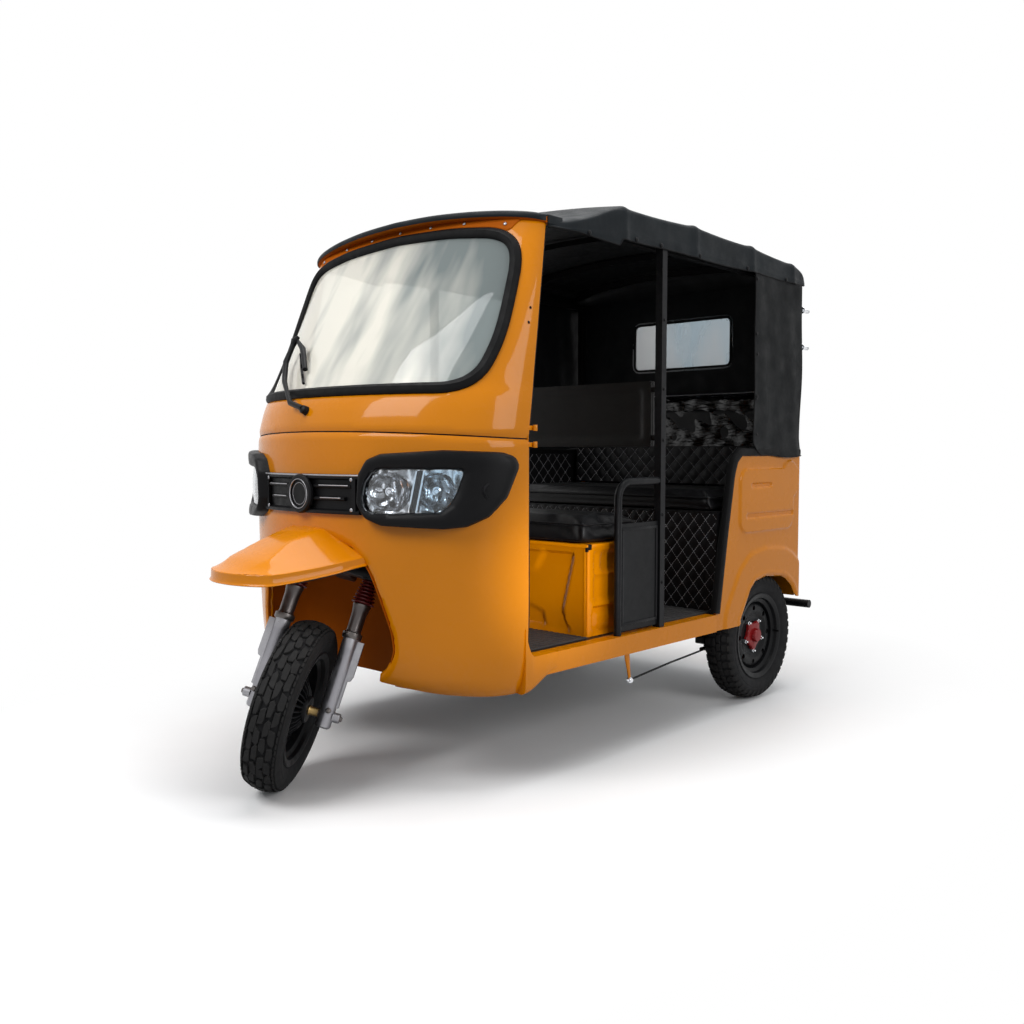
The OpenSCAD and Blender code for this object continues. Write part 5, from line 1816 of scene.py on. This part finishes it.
# CAD nodes that stay on show
for node, mat, width in (
        ("chassis_frame", BLACK_METAL, 2), ("floor_pan", BLACK_METAL, 1.5), ("side_sills", PAINT, 6),
        ("dashboard", PLASTIC, 3), ("side_posts", BLACK_METAL, 3), ("side_guards", BLACK_METAL, 2),
        ("battery_block", PLASTIC, 3), ("bench_base", VINYL, 2), ("rear_bumper", BLACK_METAL, 2),
        ("roof_frame", RUBBER, 2), ("rear_axle", BLACK_METAL, 2), ("leaf_springs", BLACK_METAL, 1.5)):
    nodes[node].data.materials.clear()
    nodes[node].data.materials.append(mat)
    soften(nodes[node], width)


# Stage, light and camera

def studio_floor():
    """A floor that is white where it is seen, darker as a source of bounced light, and fades out."""
    m = Mat("studio_floor", Roughness=0.9)
    ray = m.new("ShaderNodeLightPath").outputs
    seen = m.math("MAXIMUM", ray["Is Glossy Ray"], ray["Is Transmission Ray"])
    seen = m.math("MAXIMUM", ray["Is Camera Ray"], seen)
    pale = m.ramp(m.noise(3.0, 2.0), [(0.3, (0.95, 0.95, 0.95, 1)), (0.7, (0.97, 0.97, 0.97, 1))])
    m.colour(m.mix(seen, (0.25, 0.25, 0.26, 1.0), pale))
    away = m.new("ShaderNodeVectorMath", operation="LENGTH")
    m.link(m.spread((1 / 0.9, 1 / 1.5, 1.0)), away.inputs[0])
    glow = m.new("ShaderNodeEmission")
    glow.inputs["Color"].default_value = (1, 1, 1, 1)
    fade = m.new("ShaderNodeMixShader")
    m.link(m.math("MULTIPLY", seen, m.remap(away.outputs["Value"], 0.0, 1.0, 1.0, 1.9)), fade.inputs["Fac"])
    m.link(m.bsdf.outputs[0], fade.inputs[1])
    m.link(glow.outputs[0], fade.inputs[2])
    m.link(fade.outputs[0], m.tree.nodes["Material Output"].inputs["Surface"])
    mesh = bpy.data.meshes.new("studio_floor")
    mesh.from_pydata([(8 * math.cos(a), 8 * math.sin(a), 0) for a in turn(64)], [], [tuple(range(64))])
    mesh.materials.append(m.mat)
    obj = bpy.data.objects.new("studio_floor", mesh)
    obj.location.z = -0.001
    scene.collection.objects.link(obj)


def studio_world():
    """Soft light from all round, behind a background that shows white."""
    world = bpy.data.worlds.new("studio")
    scene.world = world
    world.use_nodes = True
    tree = world.node_tree
    soft = tree.nodes["Background"]
    white = tree.nodes.new("ShaderNodeBackground")
    for node, colour, strength in ((soft, (0.86, 0.9, 0.95, 1), 0.24), (white, (1, 1, 1, 1), 1.0)):
        node.inputs["Color"].default_value = colour
        node.inputs["Strength"].default_value = strength
    path = tree.nodes.new("ShaderNodeLightPath")
    seen = path.outputs["Is Camera Ray"]
    for key in ("Is Glossy Ray", "Is Transmission Ray"):
        either = tree.nodes.new("ShaderNodeMath")
        either.operation = "MAXIMUM"
        tree.links.new(seen, either.inputs[0])
        tree.links.new(path.outputs[key], either.inputs[1])
        seen = either.outputs[0]
    pick = tree.nodes.new("ShaderNodeMixShader")
    tree.links.new(seen, pick.inputs["Fac"])
    tree.links.new(soft.outputs[0], pick.inputs[1])
    tree.links.new(white.outputs[0], pick.inputs[2])
    tree.links.new(pick.outputs[0], tree.nodes["World Output"].inputs["Surface"])


def hang(name, light, place, target):
    """Puts a light in place and aims it."""
    obj = bpy.data.objects.new(name, light)
    obj.location = place
    obj.rotation_euler = (Vector(target) - Vector(place)).to_track_quat("-Z", "Y").to_euler()
    scene.collection.objects.link(obj)


studio_floor()
studio_world()
for name, place, target, size, power in (
        ("key_light", (-0.6, -4.4, 4.6), (0, -0.2, 0.8), (3.0, 2.4), 175),
        ("top_light", (0.2, 0.4, 5.2), (0, 0.2, 0.5), (3.4, 4.4), 200),
        ("side_light", (4.6, -0.4, 2.3), (0, 0.1, 0.8), (2.6, 2.0), 80),
        ("rear_light", (-1.6, 5.0, 2.6), (0, 0.6, 0.9), (2.6, 2.0), 40)):
    light = bpy.data.lights.new(name, "AREA")
    light.shape = "RECTANGLE"
    light.size, light.size_y = size
    light.energy = power
    hang(name, light, place, target)
spot = bpy.data.lights.new("opening_light", "SPOT")
spot.energy, spot.spot_size, spot.spot_blend, spot.shadow_soft_size = 230, math.radians(13.5), 0.6, 0.15
hang("opening_light", spot, (2.45, -1.4, 0.8), (0.25, -0.16, 0.61))

cam = bpy.data.objects.new("photo_camera", bpy.data.cameras.new("photo_camera"))
cam.data.lens = 34.69
cam.data.sensor_width = 36.0
cam.location = (2.5805, -2.7185, 1.0247)
cam.rotation_euler = (math.radians(90 - 3.55), 0, math.radians(43.02))
scene.collection.objects.link(cam)
scene.camera = cam
